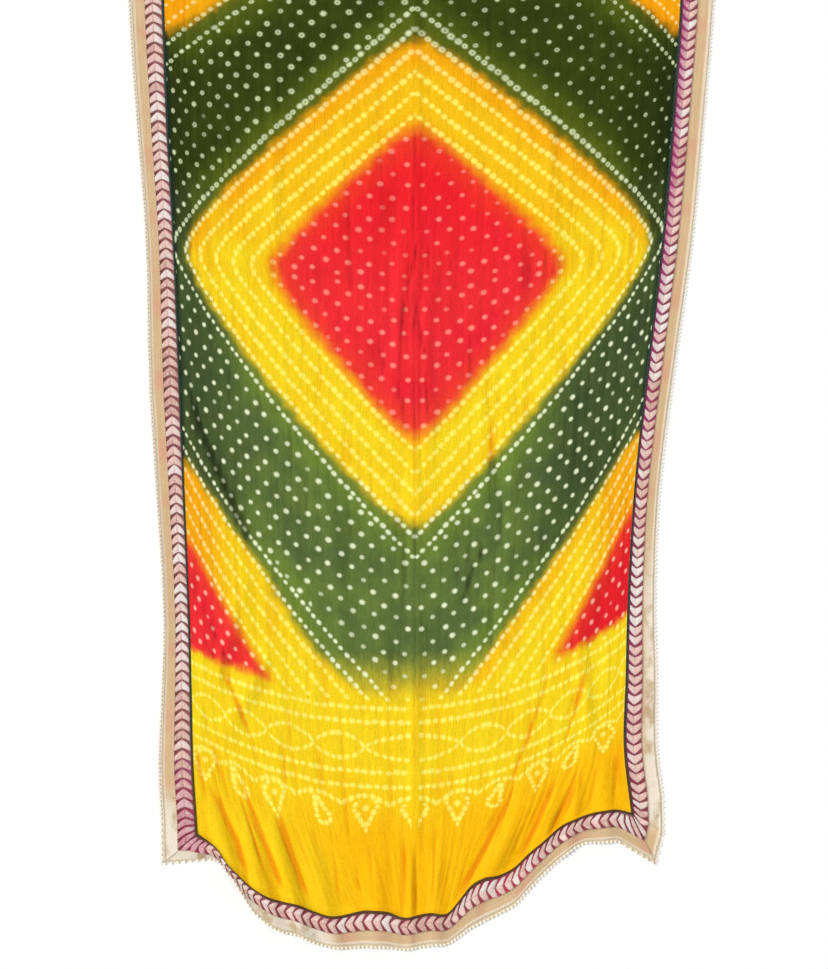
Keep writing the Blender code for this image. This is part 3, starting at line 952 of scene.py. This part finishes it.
def end_drops(x, v, closer, slope):
    """A dotted line of scallops, and under each, by turns, a drop or a bud. A drop has a dot
    for a heart; the one in the middle has no heart and only its flanks. A bud is a narrow
    drop the other way up, which leans to the middle. They all hang straight, although the
    threads rise by `slope` to the sides, and keep their width although they stand `closer`
    together."""
    swing = abs(worked("COSINE", x * (np.pi / DROP_PITCH)))
    scallop = (v - SCALLOP_LINE + swing * SCALLOP_HEIGHT) * 0.9
    scallop = dotted(scallop, x * 1.1, SCALLOP_DOTS, 50.0, 5.0, 1.0)

    cell = worked("ROUND", x / DROP_PITCH)
    odd = abs(worked("SINE", cell * (np.pi / 2)))
    bud = (1.0 - odd) * over(cell, 1.0)
    aside = (x - cell * DROP_PITCH) / closer
    rising = worked("POWER", cell * (DROP_PITCH / SIDE_PRINT), SAG_POWER - 1.0) * slope
    down = v - DROP_LINE - rising * aside
    outline, along_it = teardrop(aside + down * (bud * BUD_LEAN - odd * DROP_LEAN),
                                 down + bud * (BUD_LINE - down * 2.0),
                                 bud * (BUD_RADIUS - DROP_RADIUS) + DROP_RADIUS,
                                 bud * (BUD_TIP - DROP_TIP) + DROP_TIP)
    covered = soft_step(down + cell * 5.0, -7.0, -13.0) * 8.0 + over(cell, 5.5) * AWAY
    drop = dotted(outline, along_it, DROP_DOTS, cell + 60.0, 5.0) + covered
    heart = length_of(aside, down) * 0.8 + (1.0 - odd) * AWAY
    return lowest(scallop, drop, heart)


# %% The green and the yellow dye
def green_dye(place, past, far_half, outer):
    """Green that was dyed over yellow, `past` millimetres from the yellow: olive beside it,
    then lime, and at last dark and even on the far half, mottled on the near one. The dye
    took more strongly towards the sides, where `outer` goes to 1."""
    blotch = cloudy(place, 22.0, 3.0)
    mottled = soft_step(cloudy(place, 9.0, 2.0), 0.45, 0.75) * 0.6
    near_side = tinted(mottled, tinted(blotch, "#4a5c32", "#70843a"), "#4c5b36")
    green = tinted(far_half, near_side, tinted(blotch, "#273308", "#3d4a0c"))
    limy = soft_step(past, 105.0, 10.0) * (blotch * 0.4 + 0.45) * (1.0 - outer * 0.5)
    green = tinted(limy, green, tinted(far_half, "#748c2e", "#667218"))
    green = tinted(outer * 0.62, green, tinted(far_half, "#263324", "#141d06"))
    olive = tinted(far_half, "#989226", "#74680f")
    return tinted(soft_step(past, 26.0, -4.0) * 0.75, green, olive)


def yellow_dye(patches, far_half, rim, warm):
    """Yellow, orange beside the green and on the far half, and warmer towards the hems."""
    yellow = tinted(patches, "#f5dd20", "#f2c40e")
    yellow = tinted(far_half * 0.55, yellow, "#f3ac08")
    return tinted(rim, tinted(warm, yellow, "#fbb600"), "#f29a00")


# %% The whole print
STREAKS_ACROSS, STREAKS_ALONG = 480.0, 55.0   # streaks of the crinkles to the metre
CREEPS, PATCHES, THREADS = 42.0, 14.0, 360.0  # to the metre: dye that crept, shades, yarns
SILK_RELIEF = 0.0006


def dyed_cloth():
    """Crinkled silk-cotton with the whole print, darkened in its creases with painted shade."""
    material, shader = new_material("crinkled_silk", 0.6, sheen=0.015, specular=0.06)
    place, u, w = uv_of(shader)
    x, v = abs(u * 1000.0), abs(w * 1000.0)
    far, right = over(w, 0.0), over(u, 0.0)
    near, left = 1.0 - far, 1.0 - right
    lower = u * near * TILT
    bleed = (cloudy(place, CREEPS, 3.0) - 0.5) * BLEED
    patches = cloudy(place, PATCHES, 3.0)
    streaks = cloudy(pair(u * STREAKS_ACROSS, w * STREAKS_ALONG), 1.0, 3.0)
    valley = number_on(shader, "valley")
    far_half = soft_step(w + (patches - 0.5) * 0.2, -0.06, 0.16)

    # where each dye went
    askew = (lower + far * right * FAR_SINK, far * left)
    spans, beside = from_diamond(*askew, x, v)
    ran = beside * near * left * soft_step(v, 500.0, 620.0) * soft_step(v, 720.0, 640.0)
    past = diamond_level(*spans, DIAMOND_SLANT, YELLOW_BLUNT) + bleed - YELLOW_EDGE
    past = past + beside * (far * 38.0 + 5.0) + ran * GREEN_RAN
    red_past = diamond_level(*spans, RED_SLANT, RED_BLUNT) + bleed - RED_EDGE
    end_v = v + lower + highest(1.0 - x / ARCH_REACH, 0.0) * ARCH_HEIGHT
    before_end = 1.0 - soft_step(end_v + bleed, END_START - 20, END_START + 4)
    fading = end_v + bleed + (streaks - 0.5) * 14.0
    in_green = soft_step(past, -13.0, 15.0) * soft_step(fading, END_START + 18, END_START - 46)
    in_red = soft_step(red_past, 21.0, -17.0) * before_end
    rim = soft_step(past, -70.0, -6.0) * (far_half * 0.55 + beside * right * 0.35 + 0.08)
    rim = highest(rim, beside * soft_step(x, 250.0, 370.0) * 0.8) * before_end
    outer = (right * 80.0 + 5.0) * (1.0 - far_half) - (85.0 - right * 40.0) * far_half
    outer = soft_step(x + outer, 215.0, 350.0)
    halo = soft_step(red_past, 34.0, 4.0) * before_end * 0.5

    # where the knots were
    finer = beside * far * 0.35 + in_green * near * 0.18 + 1.0
    rows = diamond_rows(*spans, LAST_ROW - beside * far, in_green * 4.0 + 4.0) * finer
    rows = rows + soft_step(end_v, END_START + 3, END_START + 13) * 8.0
    gather = highest(x - GATHER_START, 0.0)
    print_x = x * (right * 0.10 + 1.0) + gather * gather * (0.0008 - right * 0.0004)
    slope = (right * (DROP_SLOPE[1] - DROP_SLOPE[0]) + DROP_SLOPE[0]) * near
    drops = end_drops(print_x, end_v, right * 0.10 + 1.0 + gather * 0.0045, slope)
    ends = lowest(end_lines(x * (right * 0.05 + 1.0), end_v), drops)
    ends = ends + (over(END_START + 8, end_v) + over(MIDDLE_GAP, x)) * AWAY
    field, clear = field_dots(askew, LAST_ROW - far, x, v)
    field = field * (far_half * right * 0.22 + 1.0)
    lines = lowest(rows, ends)
    faded = soft_step(cloudy(place, 5.0), 0.54, 0.74) * 0.3 + far_half * right * 0.2
    dot = highest(soft_step(lines, *LINE_DOT), soft_step(field, *FIELD_DOT) * (clear - faded))
    core = soft_step(lowest(lines, field), *DOT_CORE) * soft_step(cloudy(place, 60.0), 0.36, 0.50)
    core = core * (far_half * 0.80 + 0.2) * (in_green * 0.8 + 0.2)

    # the colours of the dyes
    green = green_dye(place, past, far_half, outer)
    green = tinted(soft_step(fading, END_START - 80, END_START - 28) * 0.9, green, "#a6a22e")
    green = tinted(soft_step(x, 384.0, 397.0) * 0.7, green, "#12281e")
    warm = soft_step(v, 800.0, 950.0) * (0.85 - soft_step(u, -0.08, -0.25) * 0.55)
    yellow = tinted(halo, yellow_dye(patches, far_half, rim, warm), "#f48400")
    red = tinted(far_half * 0.6, tinted(patches, "#e61a33", "#f23432"), "#ee1420")
    red = tinted(beside * right * 0.6, red, "#dc1420")
    red = tinted(soft_step(red_past, -70.0, 0.0) * 0.35, red, "#f0501c")
    dye = tinted(in_red, tinted(in_green, yellow, green), red)

    # the colours of the dots
    pale = tinted(in_green, "#fff268", tinted(far_half, "#f2fbd0", "#dde8b6"))
    pale = tinted(rim * (1.0 - in_green), pale, "#ffd890")
    on_red = tinted(patches, "#ff9c8a", "#ff7c70")
    pale = tinted(in_red, pale, tinted(beside * 0.5, on_red, "#ffd8c0"))
    dye = tinted(dot * 0.9, dye, tinted(core, pale, tinted(0.32, dye, pale)))

    # painted shade in the creases, and painted light and shade of the crinkle streaks over the
    # threads' grain
    shadow = tinted(in_green, tinted(in_red, "#f08600", "#8c0c10"), "#161e0a")
    dye = tinted(soft_step(valley, 0.0, 1.4) * 0.7, dye, shadow)
    grain_and_shade = streaks * 0.36 + cloudy(place, THREADS, 2.0) * 0.30 + 0.67 - valley * 0.05
    dye = put_in("VectorMath", {0: dye, "Scale": grain_and_shade}, operation="SCALE")[0]
    return finished(material, shader, dye, streaks, SILK_RELIEF)


silk = dyed_cloth()
print("nodes in the print:", len(silk.node_tree.nodes))

# %% Make the panel
panel = make_piece("dyed_panel", (panel_top, panel_under),
                   (across * HALF_PRINT, along * HALF_LENGTH), silk, "crinkled_silk",
                   "body_panel", valley=panel_valley)
count_triangles("panel", [panel])

# %% [markdown]
# ## The piping
#
# A thin cord is sewn into the seam between the cloth and its trim. It is a round profile
# carried along the seam: a ring of ten points every 3 mm, with two strands twisted round
# each other as a slow swelling of the ring. The ends are closed with a cap.

# %% Piping
PIPING_FROM, PIPING_TO = 0.000, 0.068
PIPING_HEIGHT = 0.0027
PIPING_STEP, PIPING_ROUND = 0.003, 10
STRAND_TURN = 0.012        # length in which the two strands go once round each other
STRAND_SWELL = 0.07
STRAND_PITCH = 0.0022


def cord_material():
    """Dark cord with fine diagonal strands, brown where it runs along the golden hem."""
    material, shader = new_material("piping_cord", 0.75, sheen=0.1, specular=0.25)
    place, length, round_it = uv_of(shader)
    strands = ribbed(length * 2.0 + round_it, STRAND_PITCH)
    hem = soft_step(place_of(shader)[1], -0.70, -0.86)
    dark, light = tinted(hem, "#26362c", "#50390f"), tinted(hem, "#4a5a4c", "#7d5c22")
    colour = tinted(strands * 0.6 * cloudy(place, 90.0), dark, light)
    return finished(material, shader, colour, strands, 0.0003)


def piping(side, material):
    """An ellipse across the seam: share = middle + half cos(turn), lift = half (1 + sin(turn)),
    with both halves swelling as 1 + swell cos(2 turn - 4 pi length / STRAND_TURN)."""
    length, turn = band_spots(side, PIPING_STEP)[0][:, None], round_turns(PIPING_ROUND)
    swell = 1.0 - STRAND_SWELL + STRAND_SWELL * np.cos(
        2 * turn - 4 * np.pi * length / STRAND_TURN)
    half = 0.48 * (PIPING_TO - PIPING_FROM) * swell
    share = 0.5 * (PIPING_FROM + PIPING_TO) + half * np.cos(turn)
    lift = 0.5 * PIPING_HEIGHT * (1.0 + swell * np.sin(turn))
    return make_piece("piping_cord_" + side, [band_at(side, length, share, lift)],
                      (length, turn * 0.5 * PIPING_HEIGHT), material, "piping_cord",
                      "piping_" + side)


cord = cord_material()
pipings = [piping(side, cord) for side in SIDES]
count_triangles("piping", pipings)

# %% [markdown]
# ## The gota lace
#
# Gota is a flat metallic ribbon. For this lace it is cut into short lengths, and each is
# folded into a leaf; two rows of leaves are sewn to a dark ground so that they meet in a
# point, like the barbs of a feather. One leaf is a small tube, flattened underneath and
# ridged on top. All the leaves of one side are one mesh, made in one go: the first index
# of the array is the leaf, the next its ring, the last the point on the ring.

# %% A strip of the band
TYPICAL_BAND = 0.055       # width of the band, for the scale of weaves across it


def strip(side, name, shares, columns, step, top, thickness, material, slot, stands_for):
    """A flat strip of the band, between two shares of its width: a wall whose upper skin is
    `top(length, part)` above the surface, part going from 0 to 1 across it, outwards."""
    length, part = np.meshgrid(band_spots(side, step)[0], np.linspace(0.0, 1.0, columns),
                               indexing="ij")
    width = shares[1] - shares[0]
    share = shares[0] + width * part
    lift = np.broadcast_to(top(length, part), part.shape)
    skins = [band_at(side, length, share, height)
             for height in (lift, np.maximum(lift - thickness, 0.0))]
    return make_piece(f"{name}_{side}", skins, (length, part * width * TYPICAL_BAND),
                      material, slot, f"{stands_for}_{side}", part=part)


# %% Lace ground
LACE = (0.072, 0.517)
GROUND_TOP, GROUND_WALL = 0.0009, 0.0007
GROUND_STEP, GROUND_COLUMNS = 0.006, 4
WEAVE_PITCH = 0.0011


def ground_material():
    """A ground with a plain weave: brown on the left, maroon elsewhere, and magenta in
    patches and along the inner edge of the right side and of the hem. Where it shows
    between the leaves, its dark colour also stands for the shade of the folds there,
    as painted shade."""
    material, shader = new_material("lace_ground", 0.7, sheen=0.2, specular=0.3)
    _, length, width = uv_of(shader)
    weave = (worked("SINE", length * (2 * np.pi / WEAVE_PITCH))
             * worked("SINE", width * (2 * np.pi / WEAVE_PITCH)))
    patch = soft_step(cloudy(pair(length, width * 0.2), 5.0, 2.0), 0.45, 0.68)
    x, y = place_of(shader)
    inner = soft_step(number_on(shader, "part"), 0.62, 0.30)
    low_left = soft_step(y, -0.76, -0.83) * over(-0.355, x)
    off_left, hem = soft_step(x, -0.37, -0.30), soft_step(y, -0.80, -0.86)
    magenta = off_left * (inner * (soft_step(y, -0.55, 0.10) * 0.5 + 0.25) + 0.10)
    magenta = lowest(magenta + low_left * 0.9 + patch * 0.25, 1.0)
    colour = tinted(off_left, "#96564e", "#943a46")
    colour = tinted(magenta, colour, tinted(hem, "#c23c86", "#a8284e"))
    colour = tinted(soft_step(abs(x - 0.150), 0.07, 0.03) * hem * 0.8, colour, "#e0305e")
    colour = tinted(weave * 0.10 + 0.06, colour, "#5a2028")
    return finished(material, shader, colour, weave, 0.0002)


ground = ground_material()
grounds = [strip(side, "lace_ground", LACE, GROUND_COLUMNS, GROUND_STEP,
                 lambda length, part: GROUND_TOP, GROUND_WALL, ground, "gota_lace", "gota_lace")
           for side in SIDES]
count_triangles("ground", grounds)

# %% The finish of a leaf
LEAF_RIB = 0.0009


def leaf_material():
    """Folded metallic ribbon, rose to cream, with fine ribs, painted shade on the low sides of
    each leaf, deepest at the lace's edge, and painted glints on the crests. Red dye has run
    into it: magenta on its inner edge at the far right, and at the near left."""
    material, shader = new_material("gota_leaf", 0.42, metallic=0.06, specular=0.5)
    _, along_leaf, across_leaf = uv_of(shader)
    tone, crest = number_on(shader, "tone"), number_on(shader, "crest")
    ribs = ribbed(across_leaf, LEAF_RIB)
    x, y = place_of(shader)
    # the tone also carries painted light: lighter on the inner row and in the middle of each leaf
    colour = tinted(soft_step(tone, 0.0, 0.5), "#d8a498", "#f6cabe")
    colour = tinted(soft_step(tone, 0.5, 1.0), colour, "#fff2ec")
    dyed = soft_step(x, 0.30, 0.34) * soft_step(y, -0.30, 0.25) * number_on(shader, "inner")
    dyed = dyed * 0.75 + over(-0.355, x) * soft_step(y, -0.80, -0.88) * 0.4
    colour = tinted(dyed, colour, "#cc4c92")
    # painted shade on each leaf's low sides, deepest near the lace's edge
    side_shade = soft_step(crest, 0.6, 0.0) * (soft_step(along_leaf, 0.0090, 0.0045) * 0.35 + 0.1)
    colour = tinted(side_shade, colour, "#a85a5c")
    # painted highlight: random glints along the crests
    glint = soft_step(cloudy(pair(x, y), 260.0), 0.58, 0.72) * soft_step(crest, 0.5, 0.9)
    colour = tinted(glint * 0.6, colour, "#fff6ee")
    colour = tinted(ribs * 0.15, colour, "#c09288")
    return finished(material, shader, colour, ribs, 0.0002)


leaf = leaf_material()
print("nodes in the leaf's finish:", len(leaf.node_tree.nodes))

# %% Lace leaves
LEAF_PITCH = {"left": 0.0163, "right": 0.0163, "near": 0.0152, "far": 0.0160}
LEAF_POINT = 0.0080
LEAF_SETTLE = 3.0          # number of leaves at a corner over which they come to full slant
LEAF_PLACES = (-0.03, 0.05, 0.22, 0.50, 0.80, 1.08)   # its rings, lace's edge to middle
LEAF_WIDTHS = (0.44, 0.60, 0.70, 0.79, 0.87, 0.93)    # shares of the pitch that it takes
LEAF_HEIGHTS = (0.40, 0.85, 1.00, 0.95, 0.78, 0.66)   # shares of its full height
LEAF_MARGIN = {"left": 0.0, "right": 0.14, "near": 0.10, "far": 0.0}   # bare inner edge
LEAF_ROUND = 8
LEAF_HEIGHT, LEAF_GAP = 0.0016, 0.0001     # and its gap above the ground
LEAF_STRAY = 0.0004        # how unevenly the leaves were set


def leaves(side, material):
    """Leaf n has its spine at length = start_n + forward * point * (bend(p) - 1/2) for p from
    0 at the lace's edge to 1 at its middle, where bend is the mean of p and sin(pi p / 2),
    and a ring round the spine at each p: q = cos(turn) along the lace and, on top,
    height * sin(turn)."""
    total = RULERS[side][1][-1]
    count = int(round(total / LEAF_PITCH[side]))
    pitch = total / count
    random = np.random.default_rng(31 + SIDES.index(side))
    each = (count, 1, 1, 1)
    number = np.arange(count).reshape(each) + 0.5
    settled = np.clip(np.minimum(number, count - number) / LEAF_SETTLE, 0.0, 1.0)
    start = number * pitch + random.normal(0.0, LEAF_STRAY, each)
    p, plump, high = (np.array(values).reshape(-1, 1)
                      for values in (LEAF_PLACES, LEAF_WIDTHS, LEAF_HEIGHTS))
    turn = round_turns(LEAF_ROUND)
    row = np.array([-1.0, 1.0]).reshape(2, 1, 1)

    wide = 0.5 * pitch * random.uniform(0.94, 1.04, each)
    bend = 0.5 * p + 0.5 * np.sin(0.5 * np.pi * p)
    spine = start + FORWARD[side] * LEAF_POINT * settled * (bend - 0.5)
    length = spine + wide * plump * np.cos(turn)
    middle, half = 0.5 * (LACE[0] + LACE[1]), 0.5 * (LACE[1] - LACE[0])
    out = half * (1.0 - LEAF_MARGIN[side] * (row < 0))
    share = middle + row * out * (1.0 - p)
    ridge = np.maximum(np.sin(turn), 0.0) ** 0.6 - 0.05 * np.maximum(-np.sin(turn), 0.0)
    height = LEAF_HEIGHT * random.uniform(0.85, 1.0, each)
    lift = GROUND_TOP + LEAF_GAP + height * ridge * high
    rings = band_at(side, np.clip(length, 0.0, total), share, lift)

    run = np.convolve(random.uniform(-1.0, 1.0, count + 5), np.ones(6) / 6.0, "valid")
    both = 0.5 + 0.6 * run.reshape(each) + random.uniform(-0.35, 0.35, each)
    # painted light: the inner row is 0.08 lighter
    tone = both + random.uniform(-0.12, 0.12, (count, 2, 1, 1)) - 0.08 * row
    # painted highlight: the tone rises by up to 0.15 towards each leaf's middle
    return make_piece("gota_leaves_" + side, [rings],
                      (p * half * TYPICAL_BAND, wide * np.cos(turn)), material, "gota_lace",
                      tone=tone + 0.15 * np.sin(np.pi * np.clip(p, 0.0, 1.0)),
                      crest=np.maximum(np.sin(turn), 0.0),
                      inner=np.clip(1.2 - 0.8 * p, 0.0, 1.0) * (row < 0))


leaf_pieces = [leaves(side, leaf) for side in SIDES]
count_triangles("leaf", leaf_pieces)

# %% [markdown]
# ## The gold tissue ribbon
#
# The ribbon is woven with metal thread one way and silk the other, so it is neither quite
# shiny nor quite dull. It cockles a little where it was sewn down, its outer margin is
# paler, and its two selvedges stand up as fine ridges.

# %% Ribbon
RIBBON = (0.523, 0.867)
RIBBON_STEP, RIBBON_COLUMNS = 0.005, 9
RIBBON_LIFT, RIBBON_WALL = 0.0007, 0.0004
COCKLES, COCKLE_HEIGHT = (0.017, 0.007), 0.00022   # lengths of the two sizes of cockle
SELVEDGE, SELVEDGE_HEIGHT = 0.07, 0.00025  # its width as a share of the ribbon's
TISSUE_RIB, TISSUE_THREAD = 0.0014, 0.0009


def ribbon_top(length, part):
    """Lift of the ribbon: a flat 0.7 mm, two slow random cockles and a ridge at each edge."""
    cockle = soft_random(length / COCKLES[0], part * 2.0, 41)
    cockle = cockle + 0.6 * soft_random(length / COCKLES[1], part, 42)
    ridge = np.exp(-(part / SELVEDGE) ** 2) + np.exp(-((1.0 - part) / SELVEDGE) ** 2)
    return RIBBON_LIFT + COCKLE_HEIGHT * cockle + SELVEDGE_HEIGHT * ridge


def tissue_material():
    """Tan-gold tissue with cross ribs, long uneven stripes and a cream outer margin. It is
    worn pale, with stains, at the left of the near hem and at the near right corner."""
    material, shader = new_material("gold_tissue", 0.48, metallic=0.18, sheen=0.2, specular=0.45)
    _, length, width = uv_of(shader)
    part = number_on(shader, "part")
    ribs, threads = ribbed(length, TISSUE_RIB), ribbed(width, TISSUE_THREAD)
    stripes = cloudy(pair(length * 12.0, width * 420.0), 1.0, 2.0)
    patches = cloudy(pair(length, width * 0.3), 16.0, 2.0)
    x, y = place_of(shader)
    worn = (soft_step(y, -0.83, -0.90) * soft_step(x, -0.13, -0.17)
            + soft_step(y, -0.38, -0.56) * soft_step(y, -0.925, -0.895) * soft_step(x, 0.36, 0.38))
    soiled = soft_step(abs(y + 0.69), 0.12, 0.05) * over(x, 0.36)
    stained = soft_step(cloudy(pair(x * 1.5, y), 30.0, 3.0) + soiled * 0.14, 0.48, 0.78)
    colour = tinted(stripes, "#d2ae7c", "#eacca0")
    colour = tinted(soft_step(patches, 0.45, 0.70) * 0.8, colour, "#e2ab88")
    colour = tinted(soft_step(part, 0.70, 0.86) * 0.85, colour, "#f6e6ca")
    colour = tinted(ribs * threads * 0.22, colour, "#8a6a40")
    colour = tinted(worn * 0.85, colour, tinted(stained * 0.8, "#f8eedc", "#b4945e"))
    return finished(material, shader, colour, ribs + threads, 0.00018)


tissue = tissue_material()
ribbons = [strip(side, "gold_ribbon", RIBBON, RIBBON_COLUMNS, RIBBON_STEP, ribbon_top,
                 RIBBON_WALL, tissue, "gold_tissue", "tissue_ribbon") for side in SIDES]
count_triangles("ribbon", ribbons)

# %% [markdown]
# ## Stitches
#
# Two lines of running stitches hold the ribbon: one through the lace's edge and one along
# the ribbon's outer margin. A stitch is a short bent tube of three rings, and a whole line
# of them is one mesh.

# %% Stitches
Seam = namedtuple("Seam", "share lift colour")
SEAMS = [Seam(0.540, 0.0011, "#e9c9a4"), Seam(0.838, 0.0010, "#fbf0da")]
STITCH_PITCH, STITCH_LENGTH, STITCH_START = 0.0052, 0.0034, 0.0008
THREAD, THREAD_TWIST = 0.0003, 0.0006
STITCH_RINGS, STITCH_ROUND = 3, 5


def thread_material(name, code):
    """Sewing thread with a fine twist, with painted shade in its grooves."""
    material, shader = new_material(name, 0.55, sheen=0.2, specular=0.4)
    _, length, round_it = uv_of(shader)
    groove_shade = (*(0.55 * part for part in shade(code)), 1.0)
    colour = tinted(ribbed(length + round_it, THREAD_TWIST) * 0.35, code, groove_shade)
    return finished(material, shader, colour)


def stitches(side, number, seam, material):
    """Stitch n runs from n * pitch for its length, humped as a sine, and is round."""
    starts = band_spots(side, STITCH_PITCH)[0][:-1].reshape(-1, 1, 1) + STITCH_START
    p = np.linspace(0.0, 1.0, STITCH_RINGS).reshape(-1, 1)
    turn = round_turns(STITCH_ROUND)
    length = starts + STITCH_LENGTH * p
    share = seam.share + THREAD / TYPICAL_BAND * np.cos(turn)
    lift = seam.lift + THREAD * (0.3 + np.sin(np.pi * p) + np.sin(turn))
    return make_piece(f"stitches_{number}_{side}", [band_at(side, length, share, lift)],
                      (length, turn * THREAD), material, "gold_tissue")


stitch_pieces = []
for number, seam in enumerate(SEAMS, start=1):
    thread = thread_material(f"thread_{number}", seam.colour)
    stitch_pieces += [stitches(side, number, seam, thread) for side in SIDES]
count_triangles("stitch", stitch_pieces)

# %% [markdown]
# ## The picot edge
#
# Outside the ribbon comes a narrow net with a row of small beads, each in a loop of
# thread. The net's holes are far too small to cut one by one, so its material is see-
# through between its threads. The loops are one long tube whose share swings out and back
# once per bead, and the beads are one mesh of small eight-sided balls.

# %% The net and its finish
NET = (0.872, 0.985)
NET_HOLE = 0.0026
NET_STEP, NET_COLUMNS = 0.006, 3
NET_LIFT, NET_WALL = 0.0004, 0.0003


def net_material():
    """A net of cream threads that cross, see-through between them and dense at its sewn
    edge. It is closer, and a little darker, along the near hem."""
    material, shader = new_material("picot_net", 0.6, sheen=0.2, specular=0.3)
    _, length, width = uv_of(shader)
    part = number_on(shader, "part")
    x, y = place_of(shader)
    hem = soft_step(y, -0.80, -0.86) * soft_step(abs(x), 0.40, 0.36)
    one, other = (abs(worked("SINE", slant * (np.pi / NET_HOLE)))
                  for slant in (length + width, length - width))
    thread = soft_step(lowest(one, other), 0.40, 0.20) * (hem * 0.3 + 0.4)
    sewn = soft_step(part, 0.34, 0.14) * 0.9
    close = soft_step(part, 1.0, 0.7) * hem * 0.85
    plug(shader.inputs["Alpha"], highest(highest(thread, sewn), close))
    colour = tinted(hem, tinted(part, "#f2dcba", "#fdf0dc"), "#f0e0bf")
    return finished(material, shader, colour)


net = net_material()
nets = [strip(side, "picot_net", NET, NET_COLUMNS, NET_STEP, lambda length, part: NET_LIFT,
              NET_WALL, net, "picot_beads", "picot_edge") for side in SIDES]
count_triangles("net", nets)

# %% Loops of thread, and their beads
LOOP_FROM, LOOP_REACH, LOOP_THREAD, LOOP_LIFT = 0.885, 0.070, 0.0003, 0.0006
LOOP_STEPS, LOOP_ROUND = 8, 5      # rings for one loop, and points on a ring
BEAD_SHARE = 0.955
BEAD_PITCH, BEAD_LIFT = 0.0070, 0.0015
BEAD_RADIUS = {"left": 0.0019, "right": 0.0015, "near": 0.0025, "far": 0.0021}
BEAD_RINGS, BEAD_ROUND = 5, 8
BEAD_FLAT = 0.72           # its height as a share of its width
BEAD_CAP = 0.12            # how much of the way from pole to pole each flat cap takes


def bead_material():
    """Cream glassy beads, a little uneven in colour."""
    material, shader = new_material("picot_beads", 0.28, specular=0.6)
    shader.inputs["Coat Weight"].default_value = 0.4
    return finished(material, shader, tinted(number_on(shader, "tone"), "#fff0d2", "#fffcf4"))


def loops(side, material):
    """One tube along the side: share = from + reach |sin(pi length / pitch)|."""
    spots, count = band_spots(side, BEAD_PITCH)
    length = np.linspace(0.0, spots[-1], count * LOOP_STEPS + 1)[:, None]
    turn = round_turns(LOOP_ROUND)
    share = LOOP_FROM + LOOP_REACH * np.abs(np.sin(np.pi * length * count / spots[-1]))
    rings = band_at(side, length, share + LOOP_THREAD / TYPICAL_BAND * np.cos(turn),
                    LOOP_LIFT + LOOP_THREAD * np.sin(turn))
    return make_piece("picot_loops_" + side, [rings], (length, turn * LOOP_THREAD), material,
                      "picot_beads")


def beads(side, material):
    """Balls in the middles of the loops: rings of radius sin(dip) at height cos(dip)."""
    spots, count = band_spots(side, BEAD_PITCH)
    middle = (np.arange(count) + 0.5) * (spots[-1] / count)
    centres = band_at(side, middle, BEAD_SHARE, BEAD_LIFT)
    random = np.random.default_rng(51 + SIDES.index(side))
    radius = BEAD_RADIUS[side] * random.uniform(0.85, 1.05, middle.shape)
    dip = np.pi * np.linspace(BEAD_CAP, 1.0 - BEAD_CAP, BEAD_RINGS).reshape(-1, 1)
    turn = round_turns(BEAD_ROUND)
    ball = np.stack(np.broadcast_arrays(np.sin(dip) * np.cos(turn), np.sin(dip) * np.sin(turn),
                                        BEAD_FLAT * np.cos(dip)), axis=-1)
    tone = random.uniform(0.0, 1.0, middle.shape)
    return make_piece("picot_beads_" + side,
                      [centres[:, None, None] + radius[:, None, None, None] * ball],
                      (0.0, 0.0), material, "picot_beads", tone=tone[:, None, None])


bead, loop_thread = bead_material(), thread_material("loop_thread", "#fdeed4")
loop_pieces = [loops(side, loop_thread) for side in SIDES]
bead_pieces = [beads(side, bead) for side in SIDES]
count_triangles("loop and bead", loop_pieces + bead_pieces)

# %% [markdown]
# ## The end
#
# All the pieces of trim are gathered in one list.

trim = pipings + grounds + leaf_pieces + ribbons + stitch_pieces + nets + loop_pieces + bead_pieces
